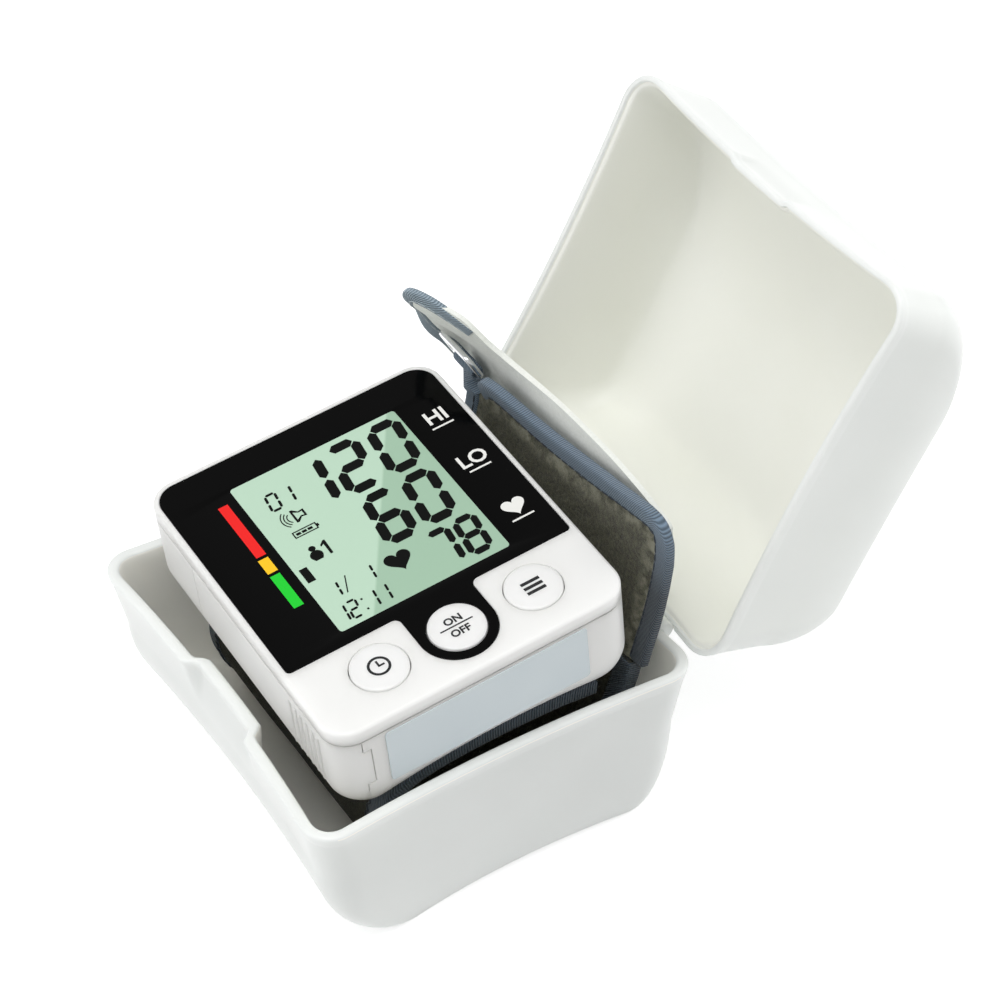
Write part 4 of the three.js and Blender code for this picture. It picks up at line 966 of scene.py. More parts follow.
def print_on(name, prints, heights, body, material):
    """Joins outlines and lettering to one thin printed piece between two heights."""
    low, high = heights
    outlines = [p for p in prints if not isinstance(p, tuple)]
    points, faces = prisms(outlines, low, high) if outlines else (np.empty((0, 3)), [])
    for letter_points, letter_faces in (p for p in prints if isinstance(p, tuple)):
        raised = letter_points.copy()
        raised[:, 2] = low + (high - low) * raised[:, 2]
        faces += [[i + len(points) for i in f] for f in letter_faces]
        points = np.vstack([points, raised])
    return piece(name, on_monitor(points), faces, body, material)


print_on("grade_red", [box_outline(-20.75, 9.35, -18.75, 24.2)], WINDOW_INK, "monitor", red_ink)
print_on("grade_amber", [box_outline(-20.9, 4.75, -18.85, 8.6)], WINDOW_INK, "monitor", amber_ink)
print_on("grade_green", [box_outline(-20.95, -5.0, -18.95, 4.0)], WINDOW_INK, "monitor", green_ink)
window_words = [
    lettering("HI", 23.9, 21.1, 3.4),
    box_outline(21.6, 18.05, 26.2, 18.45),
    lettering("LO", 23.9, 7.8, 3.4),
    box_outline(21.6, 4.75, 26.2, 5.15),
    heart(23.8, -6.8, 4.6),
    box_outline(21.5, -10.25, 26.1, -9.85),
]
print_on("window_words", window_words, WINDOW_INK, "monitor", white_ink)

# %% [markdown]
# ## The buttons
# Each cap is a shallow dome turned on a lathe, held down by a flange under the face. Only a fine
# dark line shows round it.

# %% Button caps and their signs
cap_profile = np.array(
    [
        (1.5, 0.382), (3.0, 0.37), (4.2, 0.345), (4.8, 0.315), (5.08, 0.27),
        (5.24, 0.19), (5.33, 0.07), (5.35, -0.1), (5.35, -2.28), (6.2, -2.3), (6.24, -2.36),
        (6.24, -2.76), (6.2, -2.8), (1.5, -2.8), (1.5, -3.0),
    ]
)
a = np.linspace(0, 2 * math.pi, 72, endpoint=False)
cap = np.stack(
    [
        cap_profile[:, :1] * np.cos(a),
        cap_profile[:, :1] * np.sin(a),
        np.repeat(cap_profile[:, 1:], len(a), 1),
    ],
    -1,
)
for index, name in enumerate(("set", "start", "memory")):
    x = ROW_X + (index - 1) * PITCH
    points, faces = skin(cap + [x, ROW_Y, 0.0])
    button = piece(
        name + "_cap", on_monitor(points), faces, name + "_button", button_abs, (name + "_button",), 40
    )

SET_X, MEMORY_X = ROW_X - PITCH, ROW_X + PITCH
clock_sign = [
    np.vstack([arc(SET_X, ROW_Y, 2.15, 0, 359, 40), arc(SET_X, ROW_Y, 1.65, 359, 0, 40)]),
    box_outline(SET_X - 0.2, ROW_Y - 0.2, SET_X + 0.2, ROW_Y + 1.25),
    box_outline(SET_X + 0.2, ROW_Y - 0.2, SET_X + 1.1, ROW_Y + 0.2),
]
print_on("clock_sign", clock_sign, CAP_INK, "set_button", black_ink)
words = [
    lettering("ON", ROW_X, ROW_Y + 1.55, 1.7, 0.03),
    box_outline(ROW_X - 3.3, ROW_Y, ROW_X + 3.3, ROW_Y + 0.3),
    lettering("OFF", ROW_X, ROW_Y - 1.4, 1.7, 0.03),
]
print_on("on_off_words", words, CAP_INK, "start_button", black_ink)
records = [
    box_outline(MEMORY_X - 1.9, ROW_Y + 1.2 * i - 0.34, MEMORY_X + 1.9, ROW_Y + 1.2 * i + 0.34)
    for i in (-1, 0, 1)
]
print_on("records_sign", records, CAP_INK, "memory_button", black_ink)

# %% [markdown]
# ## The back of the monitor and its battery door
# The rear moulding's walls turn in to an underside that is arched to sit on the wrist. The battery
# door takes the left side and wraps round its front corner, with a short tongue in the front
# wall. One grid of points covers the whole skin. The grid has its own lines at each seam, so the
# two pieces are cut from it along the seams and then given a wall.

# %% Skin of the rear moulding and door
SEAM, WALL_MM, SKIN_STEP = 0.11, 1.4, 2.5
DOOR_END_Y, DOOR_EDGE_X, TONGUE_X = 17.25, -25.3, -23.7
TONGUE_TOP, TONGUE_FOOT = 6.0, 14.7
corner_x, corner_y = BODY_X - BODY_CORNER, BODY_Y - BODY_CORNER
seam_angle = math.degrees(math.acos((DOOR_EDGE_X + corner_x) / BODY_CORNER))
seam_turn = math.degrees(SEAM / BODY_CORNER)


def stops(low, high, step, extra=()):
    """Places from low to high, no more than a step apart, with extra ones among them."""
    even = np.linspace(low, high, max(int(abs(high - low) / step) + 1, 2))
    return np.array(sorted({*np.round(even, 4), *np.round(extra, 4)}, reverse=high < low))


left_side = stops(corner_y, -corner_y, SKIN_STEP, (DOOR_END_Y - SEAM, DOOR_END_Y + SEAM))
near_side = stops(-corner_x, corner_x, SKIN_STEP, (TONGUE_X - SEAM, TONGUE_X + SEAM))
near_left = stops(180, 270, 7, (360 - seam_angle - seam_turn, 360 - seam_angle + seam_turn))
plain_corner = np.linspace(0, 90, 13)
columns = [((1, 1), a) for a in plain_corner]
columns += [((-x / corner_x, 1), 90) for x in stops(-corner_x, corner_x, SKIN_STEP)[1:-1]]
columns += [((-1, 1), 90 + a) for a in plain_corner]
columns += [((-1, y / corner_y), 180) for y in left_side[1:-1]]
columns += [((-1, -1), a) for a in near_left]
columns += [((x / corner_x, -1), 270) for x in near_side[1:-1]]
columns += [((1, -1), 270 + a) for a in plain_corner]
columns += [((1, y / corner_y), 360) for y in stops(-corner_y, corner_y, SKIN_STEP)[1:-1]]
place_share = np.array([c[0] for c in columns], float)
heading = np.radians([c[1] for c in columns])
heading = np.stack([np.cos(heading), np.sin(heading)], 1)

REAR_TOP, SWEEP_RISE, SWEEP_X, SWEEP_Y, ARCH_RISE, ARCH_HALF = 3.25, 5.5, 5.0, 1.5, 2.2, 25.0
straight = BODY_DEEP - SWEEP_RISE
tongue_lines = (TONGUE_TOP - SEAM, TONGUE_TOP + SEAM, TONGUE_FOOT - SEAM, TONGUE_FOOT + SEAM)
row_depths = stops(REAR_TOP + 0.1, straight, 1.5, tongue_lines)
turn = np.linspace(0, math.pi / 2, 13)[1:]
depths = np.concatenate([[REAR_TOP, REAR_TOP + 0.04], row_depths, straight + SWEEP_RISE * np.sin(turn)])
sweeps = np.concatenate([np.zeros(len(row_depths) + 2), 1 - np.cos(turn)])
insets = np.zeros(len(depths))
insets[:2] = (0.1, 0.03)


def arch(x):
    """Rise of the underside's arch at a place across the body."""
    return ARCH_RISE * np.maximum(1 - (x / ARCH_HALF) ** 2, 0)


half_x = (BODY_X - insets - SWEEP_X * sweeps)[:, None]
half_y = (BODY_Y - insets - SWEEP_Y * sweeps)[:, None]
x = place_share[:, 0] * (half_x - BODY_CORNER) + heading[:, 0] * BODY_CORNER
y = place_share[:, 1] * (half_y - BODY_CORNER) + heading[:, 1] * BODY_CORNER
rise = smooth((depths - straight) / SWEEP_RISE)[:, None]
z = -depths[:, None] + arch(x) * rise
rings = np.stack([x, y, z], -1)
floor_shares = np.linspace(1, 0.04, 16)[1:]
floor = rings[-1][None, :, :] * floor_shares[:, None, None]
floor[..., 2] = -BODY_DEEP + arch(floor[..., 0])
rings = np.concatenate([rings, floor])
rows, count = rings.shape[:2]
skin_points = rings.reshape(-1, 3)
skin_faces = np.array(grid_faces(rows, count, loop_columns=True))
centres = skin_points[skin_faces].mean(1)
cx, cy, depth = centres[:, 0], centres[:, 1], -centres[:, 2]


def gap_and_door(grow):
    """Cells that lie in the door's region when the region is grown by an amount."""
    side = (cx < DOOR_EDGE_X + grow) & (cy < DOOR_END_Y + grow)
    on_front = cy < -BODY_Y + 1.0
    tongue = on_front & (cx < TONGUE_X + grow)
    tongue &= (depth > TONGUE_TOP - grow) & (depth < TONGUE_FOOT + grow)
    return side | tongue


door_cells = gap_and_door(-SEAM * 0.5)
rear_cells = ~gap_and_door(SEAM * 0.5)
hub_point = np.array([[0.0, 0.0, -BODY_DEEP + ARCH_RISE]])


def walled(name, points, faces, replaced, body):
    """A piece of skin with a wall grown inwards from it and its cut edges just broken."""
    obj = piece(name, on_monitor(points), faces, None, body_abs, (replaced,), 30)
    wall = obj.modifiers.new("wall", "SOLIDIFY")
    wall.thickness = WALL_MM * MM
    wall.offset = -1.0
    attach(obj, body)
    return bevel(obj, 0.1)


rear_points = np.vstack([skin_points, hub_point])
rear_faces = skin_faces[rear_cells].tolist() + fan(np.arange(count) + (rows - 1) * count, rows * count)
rear_moulding = walled("rear_moulding", rear_points, rear_faces, "rear_housing", "monitor")
door_faces = skin_faces[door_cells].tolist()
door_skin = walled("door_moulding", skin_points, door_faces, "battery_door", "battery_door")
print("rear cells:", int(rear_cells.sum()), "door cells:", int(door_cells.sum()))

# %% [markdown]
# A shallow row of slanted ribs on the door gives the thumb its grip.

# %% Door ribs
RIBS, RIB_FROM, RIB_PITCH, RIB_WIDE, RIB_TOP, RIB_FOOT = 6, -29.25, 2.0, 0.75, -5.2, -16.3
rib_points, rib_faces, first = [], [], 0
for rib in range(RIBS):
    rib_y = RIB_FROM + RIB_PITCH * rib
    outline = even_loop(box_outline(rib_y, RIB_TOP, rib_y + RIB_WIDE, RIB_FOOT), 1.5)
    middle = outline.mean(0)
    for x0, shrink in ((-BODY_X + 0.4, 0.0), (-BODY_X - 0.05, 0.0), (-BODY_X - 0.22, 0.16)):
        ring = outline + (middle - outline) * [shrink / 0.5, shrink / 6.0]
        rib_points.append(np.column_stack([np.full(len(ring), x0), ring]))
    rib_faces += grid_faces(3, len(outline), loop_columns=True, first=first)
    rib_faces.append(list(range(first + 2 * len(outline), first + 3 * len(outline))))
    rib_faces.append(list(range(first, first + len(outline))))
    first += 3 * len(outline)
piece("door_ribs", on_monitor(np.vstack(rib_points)), rib_faces, "battery_door", body_abs)

# %% [markdown]
# The rating plate on the front side is a grey-blue film. Nothing is printed on it.

# %% Rating plate
rating_film, tree, surface = new_material("printed_film", 0.32, "#DDE6E9")
film_tint = between(tree, speckle(tree, 14.0, 1.0), "#C4CFD4", "#D0D9DC")
tree.links.new(film_tint, surface.inputs["Base Color"])
raise_surface(tree, surface, speckle(tree, 0.35, 3.0), 0.006, 0.5)

FILM_X, FILM_Z, FILM_HALF_X, FILM_HALF_Z, FILM_CORNER, FILM_PROUD = -0.2, -10.3, 20.6, 6.5, 0.8, 0.22
film_edge = [(0.3, 0.0), (0.06, 0.0), (0.0, 0.05), (0.0, 0.2)]
points, faces = plate([round_box(FILM_HALF_X, FILM_HALF_Z, FILM_CORNER, FILM_X, FILM_Z)], [film_edge])
points = np.column_stack([points[:, 0], -points[:, 2], points[:, 1]])
points[:, 1] += -BODY_Y - FILM_PROUD - points[:, 1].min()
plate_piece = piece("rating_film", on_monitor(points), faces, "monitor", rating_film, ("rating_plate",))

# %% [markdown]
# ## Cloth
# The cuff is a sandwich: a smooth polyester cover outside, an olive felt of small loops inside for
# the hook tape to catch, and a thin bladder between. Its edges are bound with a ribbed tape, sewn
# down with a zigzag in dark thread. The strap behind it is a pale laminated felt with the same tape.


# %% Felt, cloth and tape materials
def felt(name, dark, light, size_mm, depth_mm, sheen, worn=None):
    """Needled felt: noise at the size of a fibre clump, a finer one for fibres, and a soft sheen.
    With a worn colour it is paler in patches beside its bound edge, where the fibres are lifted."""
    material, tree, surface = new_material(name, 1.0, light)
    surface.inputs["Sheen Weight"].default_value = sheen
    surface.inputs["Sheen Roughness"].default_value = 0.45
    surface.inputs["Specular IOR Level"].default_value = 0.1
    clump = speckle(tree, size_mm, 4.0, 0.65)
    fibre = speckle(tree, size_mm / 4, 4.0, 0.7)
    mixed = add(tree, "ShaderNodeMath", {"operation": "MULTIPLY_ADD", 1: 0.55}, i0=fibre, i2=clump)
    colour = between(tree, mixed.outputs[0], dark, light, 0.45)
    raise_surface(tree, surface, mixed.outputs[0], depth_mm, 1.0)
    if worn:
        edge = add(tree, "ShaderNodeAttribute", {"attribute_name": "from_edge"}).outputs["Fac"]
        near_edge = ranged(tree, edge, 3.6, 7.5, 1.0, 0.0)
        patch = ranged(tree, speckle(tree, 3.0, 3.0, 0.6), 0.42, 0.62)
        fuzz = add(tree, "ShaderNodeMath", {"operation": "MULTIPLY"}, i0=near_edge, i1=patch)
        lifted = add(tree, "ShaderNodeMix", {"data_type": "RGBA"}, i0=fuzz.outputs[0], i6=colour)
        lifted.inputs[7].default_value = linear(worn)
        colour = lifted.outputs[2]
    tree.links.new(colour, surface.inputs["Base Color"])
    return material


olive_felt = felt("olive_loop_felt", "#15150F", "#6B6A55", 0.7, 0.55, 0.2, "#A9A893")
cuff_felt = felt("olive_loop_felt_inside", "#1F1F17", "#6F6E5A", 0.8, 0.5, 0.25)
pale_felt = felt("pale_laminated_felt", "#E6E9E2", "#F7F9F4", 0.6, 0.1, 0.1)
cover_cloth = felt("dark_cover_cloth", "#1E201A", "#4A4B40", 0.5, 0.25, 0.1)


def ribbed_tape(name, dark, light, painted_shade_until=None):
    """Twill tape: slanted ribs from the piece's own UV map, which counts millimetres along and
    across the tape. The ribs are 0.7 mm apart along it, a little coarser than real ones. A tape can
    be given painted shade: darker up to a distance along it."""
    material, tree, surface = new_material(name, 0.75, light)
    surface.inputs["Sheen Weight"].default_value = 0.2
    uv = add(tree, "ShaderNodeUVMap", {"uv_map": "along"})
    twill = {"wave_type": "BANDS", "bands_direction": "DIAGONAL"}
    twill |= {"Scale": 1.15, "Distortion": 1.2, "Detail": 2.0}
    rib = add(tree, "ShaderNodeTexWave", twill, Vector=uv.outputs[0])
    thread = speckle(tree, 0.35, 2.0)
    weave = {"operation": "MULTIPLY_ADD", 1: 0.35}
    mixed = add(tree, "ShaderNodeMath", weave, i0=thread, i2=rib.outputs["Fac"])
    colour = between(tree, mixed.outputs[0], dark, light)
    # Painted shade: the tape darkens up to a distance along it.
    if painted_shade_until:
        along = add(tree, "ShaderNodeSeparateXYZ", Vector=uv.outputs[0])
        fade = ranged(tree, along.outputs["X"], painted_shade_until - 6.0, painted_shade_until + 8.0)
        painted_shade_colour = between(tree, mixed.outputs[0], "#141C22", "#394650")
        painted_shade_mix = add(tree, "ShaderNodeMix", {"data_type": "RGBA"}, i0=fade, i6=painted_shade_colour, i7=colour)
        colour = painted_shade_mix.outputs[2]
    tree.links.new(colour, surface.inputs["Base Color"])
    raise_surface(tree, surface, mixed.outputs[0], 0.22, 1.0)
    return material


slate_tape = ribbed_tape("slate_twill_tape", "#3A4955", "#73879A")
navy_tape = ribbed_tape("navy_twill_tape", "#28323C", "#56646F")
pale_tape = ribbed_tape("pale_twill_tape", "#5E6F7C", "#9DAEBA")
# The flap's tape has painted shade: darker up its near edge, over about its first 22 mm.
tape_with_painted_shade = ribbed_tape("twill_tape_painted_shade", "#3A4955", "#73879A", painted_shade_until=22.0)


def sewing_thread(name, dark, light):
    """Spun polyester: darker and lighter fibres twisted together, a sixth of a millimetre apart."""
    material, tree, surface = new_material(name, 0.6, dark)
    twist = between(tree, speckle(tree, 0.15, 1.0), dark, light)
    tree.links.new(twist, surface.inputs["Base Color"])
    return material


thread_dark = sewing_thread("dark_polyester_thread", "#171C21", "#39424B")
thread_pale = sewing_thread("pale_polyester_thread", "#98A2A7", "#C2CACC")

# %% [markdown]
# ### The rolled cuff
# The cuff's middle line starts under the monitor at the hinge side, runs left, turns down and comes
# back along the floor and up. A smooth curve through the same places as the CAD model's gives it.
# The cover and the felt are each one closed layer on either side of that line.


# %% The roll's line and layers
def unit(values):
    """Unit vectors from an array of vectors."""
    return values / np.linalg.norm(values, axis=1, keepdims=True)


def lengths_along(line):
    """The distance from a line's start to each of its points."""
    return np.concatenate([[0], np.cumsum(np.linalg.norm(np.diff(line, axis=0), axis=1))])


def smooth_line(places, samples):
    """A uniform Catmull-Rom curve through places, resampled to even steps along its length."""
    p = np.asarray(places, float)
    p = np.vstack([2 * p[0] - p[1], p, 2 * p[-1] - p[-2]])
    t = np.linspace(0, len(p) - 3 - 1e-9, 900)
    i = t.astype(int)
    f = (t - i)[:, None]
    a, b, c, d = p[i], p[i + 1], p[i + 2], p[i + 3]
    bend, twist = 2 * a - 5 * b + 4 * c - d, 3 * b - a - 3 * c + d
    line = 0.5 * (2 * b + (c - a) * f + bend * f**2 + twist * f**3)
    length = lengths_along(line)
    even = np.linspace(0, length[-1], samples)
    return np.stack([np.interp(even, length, line[:, k]) for k in range(line.shape[1])], 1), even


ROLL_SHARES = [
    (0.5515, 0.9405), (0.3186, 0.9622), (0.0, 0.9568), (-0.2451, 0.9324), (-0.4150, 0.8865),
    (-0.5150, 0.8000), (-0.5550, 0.6595), (-0.5450, 0.4703), (-0.4500, 0.2919), (-0.2451, 0.1560),
    (0.0, 0.1310), (0.2206, 0.1510), (0.4902, 0.2950), (0.6520, 0.5946), (0.7402, 0.8649), (0.7647, 0.9838),
]
roll, roll_length = smooth_line(np.array(ROLL_SHARES) * [RIM_X, BASE_TALL], 220)
roll_along = unit(np.gradient(roll, axis=0))
roll_away = np.stack([-roll_along[:, 1], roll_along[:, 0]], 1)
CUFF_MIDDLE, CUFF_HALF = -2.7, 0.75 * RIM_Y
print("cuff length in the roll, mm:", round(float(roll_length[-1]), 1))


def carried_section(line, away, across, thick):
    """A closed section carried along the roll: across is its place along Y, thick its distance from
    the middle line, both arrays over the section's points and, if wanted, over the line."""
    x = line[:, None, 0] + away[:, None, 0] * thick
    z = line[:, None, 1] + away[:, None, 1] * thick
    return np.stack([x, np.broadcast_to(across, x.shape), z], -1)


def layer(name, near, far, puff, material, replaces):
    """One layer of the cuff, from near the middle line to far from it, plumper across its middle."""
    v = np.linspace(-1, 1, 40)
    plump = puff * (1 - v**4)
    side = np.sign(far)
    ripple = 0.12 * np.sin(roll_length[:, None] / 5.3 + 1.3 * np.sin(v * 4.0))
    outer = far + side * (plump + ripple * (1 - v**2))
    inner = np.full_like(outer, near)
    across = CUFF_MIDDLE + np.concatenate([v, v[::-1]]) * (CUFF_HALF - 0.6)
    section = np.concatenate([outer, inner[:, ::-1]], 1)
    points, faces = skin(carried_section(roll, roll_away, across, section))
    obj = piece(name, points, faces, "monitor", material, replaces, 60)
    return obj


cover_layer = layer("cover_layer", -0.2, -1.5, 0.25, cover_cloth, ("cuff_cover",))
lining_layer = layer("lining_layer", 0.2, 1.35, 0.25, cuff_felt, ("cuff_lining", "cuff_bladder"))


# %% [markdown]
# ### Binding tape
# A tape folded over an edge is a flattened tube with one side open to the cloth. It is drawn as a
# closed section, flat on both faces and round at the fold, carried along the edge. A UV map counts
# millimetres along it so that its ribs lie straight across.


# %% Tape and stitches
def tape_section(width, thick):
    """Superellipse: a flat oval, as (across, through) pairs, anticlockwise."""
    a = np.linspace(0, 2 * math.pi, 26, endpoint=False)
    across = np.sign(np.cos(a)) * np.abs(np.cos(a)) ** 0.55
    through = np.sign(np.sin(a)) * np.abs(np.sin(a)) ** 0.45
    return across * width / 2, through * thick / 2


def tape(name, line, across_axis, through_axis, width, thick, body, material):
    """Carries the tape's section along a line, with its width and thickness on two given axes."""
    across, through = tape_section(width, thick)
    rings = (
        line[:, None, :]
        + across_axis[:, None, :] * across[None, :, None]
        + through_axis[:, None, :] * through[None, :, None]
    )
    points, faces = skin(rings)
    obj = piece(name, points, faces, body, material, (), 50)
    length = lengths_along(line)
    places = vectors_of(obj.data.vertices, "co") / MM
    nearest = np.argmin(((places[:, None, :] - line[None, :, :]) ** 2).sum(-1), 1)
    layer_map = obj.data.uv_layers.new(name="along")
    corner_vertex = np.empty(len(obj.data.loops), np.int32)
    obj.data.loops.foreach_get("vertex_index", corner_vertex)
    offset = ((places - line[nearest]) * across_axis[nearest]).sum(1)
    uv = np.stack([length[nearest], offset], 1)[corner_vertex]
    layer_map.data.foreach_set("uv", uv.ravel())
    return obj


THREAD = 0.17


def stitches(name, line, across_axis, through_axis, lift, body, material, pitch=1.6, swing=0.55):
    """A zigzag of short threads along a line, each a small spindle lying on the cloth."""
    length = lengths_along(line)
    at = np.arange(0.6, length[-1] - 0.6, pitch / 2)
    def sample(values):
        return np.stack([np.interp(at, length, values[:, k]) for k in range(3)], 1)
    side = np.where(np.arange(len(at)) % 2 == 0, -1.0, 1.0)[:, None] * swing
    knots = sample(line) + sample(across_axis) * side + sample(through_axis) * lift
    start, end = knots[:-1], knots[1:]
    t = unit(end - start)
    up = sample(through_axis)[:-1]
    b = np.cross(t, up)
    a = np.linspace(0, 2 * math.pi, 6, endpoint=False)
    shares = np.array([0.04, 0.25, 0.5, 0.75, 0.96])
    swell = np.array([0.35, 0.95, 1.0, 0.95, 0.35]) * THREAD
    middle = start[:, None, :] + (end - start)[:, None, :] * shares[None, :, None]
    ring = (
        b[:, None, None, :] * np.cos(a)[None, None, :, None]
        + up[:, None, None, :] * np.sin(a)[None, None, :, None]
    ) * swell[None, :, None, None]
    points = (middle[:, :, None, :] + ring).reshape(-1, 3)
    rows, sides, faces = len(shares), len(a), []
    for first in range(0, len(points), rows * sides):
        faces += grid_faces(rows, sides, loop_columns=True, first=first)
        faces.append(list(range(first, first + sides)))
        faces.append(list(range(first + (rows - 1) * sides, first + rows * sides)))
    return piece(name, points, faces, body, material, (), 80)


CUFF_TAPE_WIDE, CUFF_TAPE_THICK, SEAM_IN, STITCH_LIFT = 4.6, 3.7, 0.8, 1.9
for side, sign in (("near", -1), ("far", 1)):
    edge_y = CUFF_MIDDLE + sign * (CUFF_HALF - CUFF_TAPE_WIDE / 2)
    line = np.stack([roll[:, 0], np.full(len(roll), edge_y), roll[:, 1]], 1)
    across_axis = np.tile([0.0, 1.0, 0.0], (len(roll), 1))
    through_axis = np.stack([roll_away[:, 0], np.zeros(len(roll)), roll_away[:, 1]], 1)
    wide, thick = CUFF_TAPE_WIDE, CUFF_TAPE_THICK
    tape("cuff_tape_" + side, line, across_axis, through_axis, wide, thick, "monitor", navy_tape)
    inner = line - [0.0, sign * (wide / 2 - SEAM_IN), 0.0]
    sewn_name = "cuff_stitch_cover_" + side
    stitches(sewn_name, inner, across_axis, -through_axis, STITCH_LIFT, "monitor", thread_dark)

# %% [markdown]
# ### The cuff's standing end
# Beyond the roll the cuff stands up behind the monitor as a stiff flap of olive felt. Its surface
# is a function of the place across and the share of its height. It leans back as it rises and curls
# forward towards its far end. The same function gives the line that its tape follows.

# %% Flap and strap surfaces
CURL, CURL_START, CURL_RUN, CURL_FROM, CURL_RISE = 9.0, -10.0, 50.0, 16.0, 26.0
FLAP_TALL, FLAP_REACH, FLAP_FOOT = 33.0, 36.0, -0.1
FLAP_LEAN = np.array(
    [
        (0.0, 0.8694), (0.1273, 0.9), (0.2727, 0.9361), (0.4091, 0.9625),
        (0.5455, 0.9833), (0.697, 1.0), (0.8485, 1.0), (1.0, 0.9861),
    ]
)
FLAP_TOP = np.array(
    [
        (-36.7, 27.6), (-36.2, 30.5), (-35.1, 32.3), (-33.4, 33), (-31, 33), (-28, 32.6), (-22, 31.1),
        (-15, 29.5), (-6, 27.7), (-2, 27.2), (4, 26.6), (12, 26.45), (19, 26), (21.5, 25.3),
        (23.6, 24), (24.3, 21.5), (24.9, 19.8), (29.1, 18.6),
    ]
)


def curl_at(y, z):
    """How far the standing cloth leans forward, by its place along the case and its height."""
    return CURL * smooth((y - CURL_START) / CURL_RUN) * smooth((z - CURL_FROM) / CURL_RISE)


def flap_x(y, z):
    """The flap's middle surface."""
    return FLAP_REACH * np.interp(z / FLAP_TALL, *FLAP_LEAN.T) - curl_at(y, z)


def flap_point(y, z):
    """The flap's middle surface as points in the case's frame."""
    return np.stack([flap_x(y, z), y + 0 * z, BASE_TALL + z], -1)


def surface_frame(point, y, z):
    """The surface's forward normal, from its slopes along y and z."""
    e = 0.05
    along_y = point(y + e, z) - point(y - e, z)
    along_z = point(y, z + e) - point(y, z - e)
    normal = np.cross(along_z, along_y)
    return unit(normal.reshape(-1, 3)).reshape(normal.shape)


def padded_sheet(point, y, z, front, rear):
    """A closed sheet over a grid of (y, z), from front to rear distances along the normal."""
    normal = surface_frame(point, y, z)
    middle = point(y, z)
    sheets = [middle + normal * front[..., None], middle - normal * rear[..., None]]
    rows, columns = y.shape
    points = np.concatenate([s.reshape(-1, 3) for s in sheets])
    faces = grid_faces(rows, columns) + grid_faces(rows, columns, first=rows * columns)
    index = np.arange(rows * columns).reshape(rows, columns)
    ring = np.concatenate([index[0, :], index[1:, -1], index[-1, -2::-1], index[-2:0:-1, 0]])
    count = len(ring)
    for k in range(count):
        a, b = int(ring[k]), int(ring[(k + 1) % count])
        faces.append([a, b, b + rows * columns, a + rows * columns])
    return points, faces


FLAP_NEAR, FLAP_FAR, TUCK_IN = -36.7, 29.1, 0.9


def from_flap_edge(y, z):
    """How far a place on the flap lies from its nearest bound edge."""
    return np.minimum.reduce([y - FLAP_NEAR, FLAP_FAR - y, np.interp(y, *FLAP_TOP.T) - z])


y_stops = np.linspace(FLAP_NEAR + TUCK_IN, FLAP_FAR - TUCK_IN, 110)
z_share = np.linspace(0, 1, 70)
flap_top = np.interp(y_stops, *FLAP_TOP.T) - TUCK_IN
y_grid = np.repeat(y_stops[None, :], len(z_share), 0)
z_grid = FLAP_FOOT + z_share[:, None] * (flap_top[None, :] - FLAP_FOOT)
edge_gap = from_flap_edge(y_grid, z_grid)
swell = 0.55 + 0.75 * smooth((edge_gap - 2.0) / 6.0)
rough = 0.12 * np.sin(y_grid * 0.9 + 2.1 * np.sin(z_grid * 0.31)) * np.sin(z_grid * 0.7)
points, faces = padded_sheet(
    flap_point, y_grid, z_grid, swell + rough * smooth((edge_gap - 3) / 6), np.minimum(swell, 0.9)
)
flap = piece("flap_felt", points, faces, "strap", olive_felt, ("cuff_flap",), 60)
places = vectors_of(flap.data.vertices, "co") / MM
edge_mark = flap.data.attributes.new("from_edge", "FLOAT", "POINT")
edge_mark.data.foreach_set("value", from_flap_edge(places[:, 1], places[:, 2] - BASE_TALL))

# %% [markdown]
# The flap's edge is a smooth line through a few corners. The tape follows it, and a row of running
# stitches follows the tape's inner edge.

# %% Tape along the flap's edge
def edge_line(corners, inset, samples):
    """A smooth line through (y, z) corners, moved in from the edge by an amount."""
    line, _ = smooth_line(corners, samples)
    along = unit(np.gradient(line, axis=0))
    inward = np.stack([-along[:, 1], along[:, 0]], 1)
    return line + inward * inset, inward


def bound_edge(name, point, corners, width, thick, material, thread, flip=1.0, samples=260):
    """Binds the edge of a standing cloth with tape and sews it down on its front."""
    flat, inward = edge_line(corners, flip * width / 2, samples)
    line = point(flat[:, 0], flat[:, 1])
    through = surface_frame(point, flat[:, 0], flat[:, 1])
    along = unit(np.gradient(line, axis=0))
    across = unit(np.cross(along, through))
    made = tape(name, line, across, through, width, thick, "strap", material)
    inner, _ = edge_line(corners, flip * (width - 0.75), samples)
    inner_line = point(inner[:, 0], inner[:, 1])
    lift = thick / 2 - 0.02
    sewn = stitches(name + "_stitch", inner_line, across, through, lift, "strap", thread, 4.4, 0.0)
    return made, sewn


flap_corners = [
    (-36.7, 0.5), (-36.7, 8), (-36.7, 16), (-36.7, 23), (-36.6, 27.4), (-35.8, 30.8), (-33.8, 32.8),
    (-30.4, 33.0), (-26, 32.1), (-21, 30.9), (-15, 29.5), (-8, 28.1), (-2, 27.2), (5, 26.6),
    (12, 26.4), (18, 26.1), (22.5, 24.9), (24.8, 22.6),
]
# Its tape carries painted shade up its near edge.
flap_tape, flap_sewn = bound_edge(
    "flap_tape", flap_point, flap_corners, 4.0, 2.3, tape_with_painted_shade, thread_dark, flip=-1.0
)
far_corners = [(FLAP_FAR, 19.2), (FLAP_FAR, 14), (FLAP_FAR, 8), (FLAP_FAR, 1)]
far_tape, far_sewn = bound_edge(
    "flap_far_tape", flap_point, far_corners, 4.0, 2.6, slate_tape, thread_dark, flip=-1.0, samples=60
)

# %% [markdown]
# ### The strap behind it
# The strap is one broad tongue of pale felt that passes behind the flap and stands a little higher.
# Its far edge is bound with tape that runs round the tip.

# %% Strap
STRAP_FOOT, STRAP_NEAR, STRAP_BACK = 12.0, 31.5, 39.4
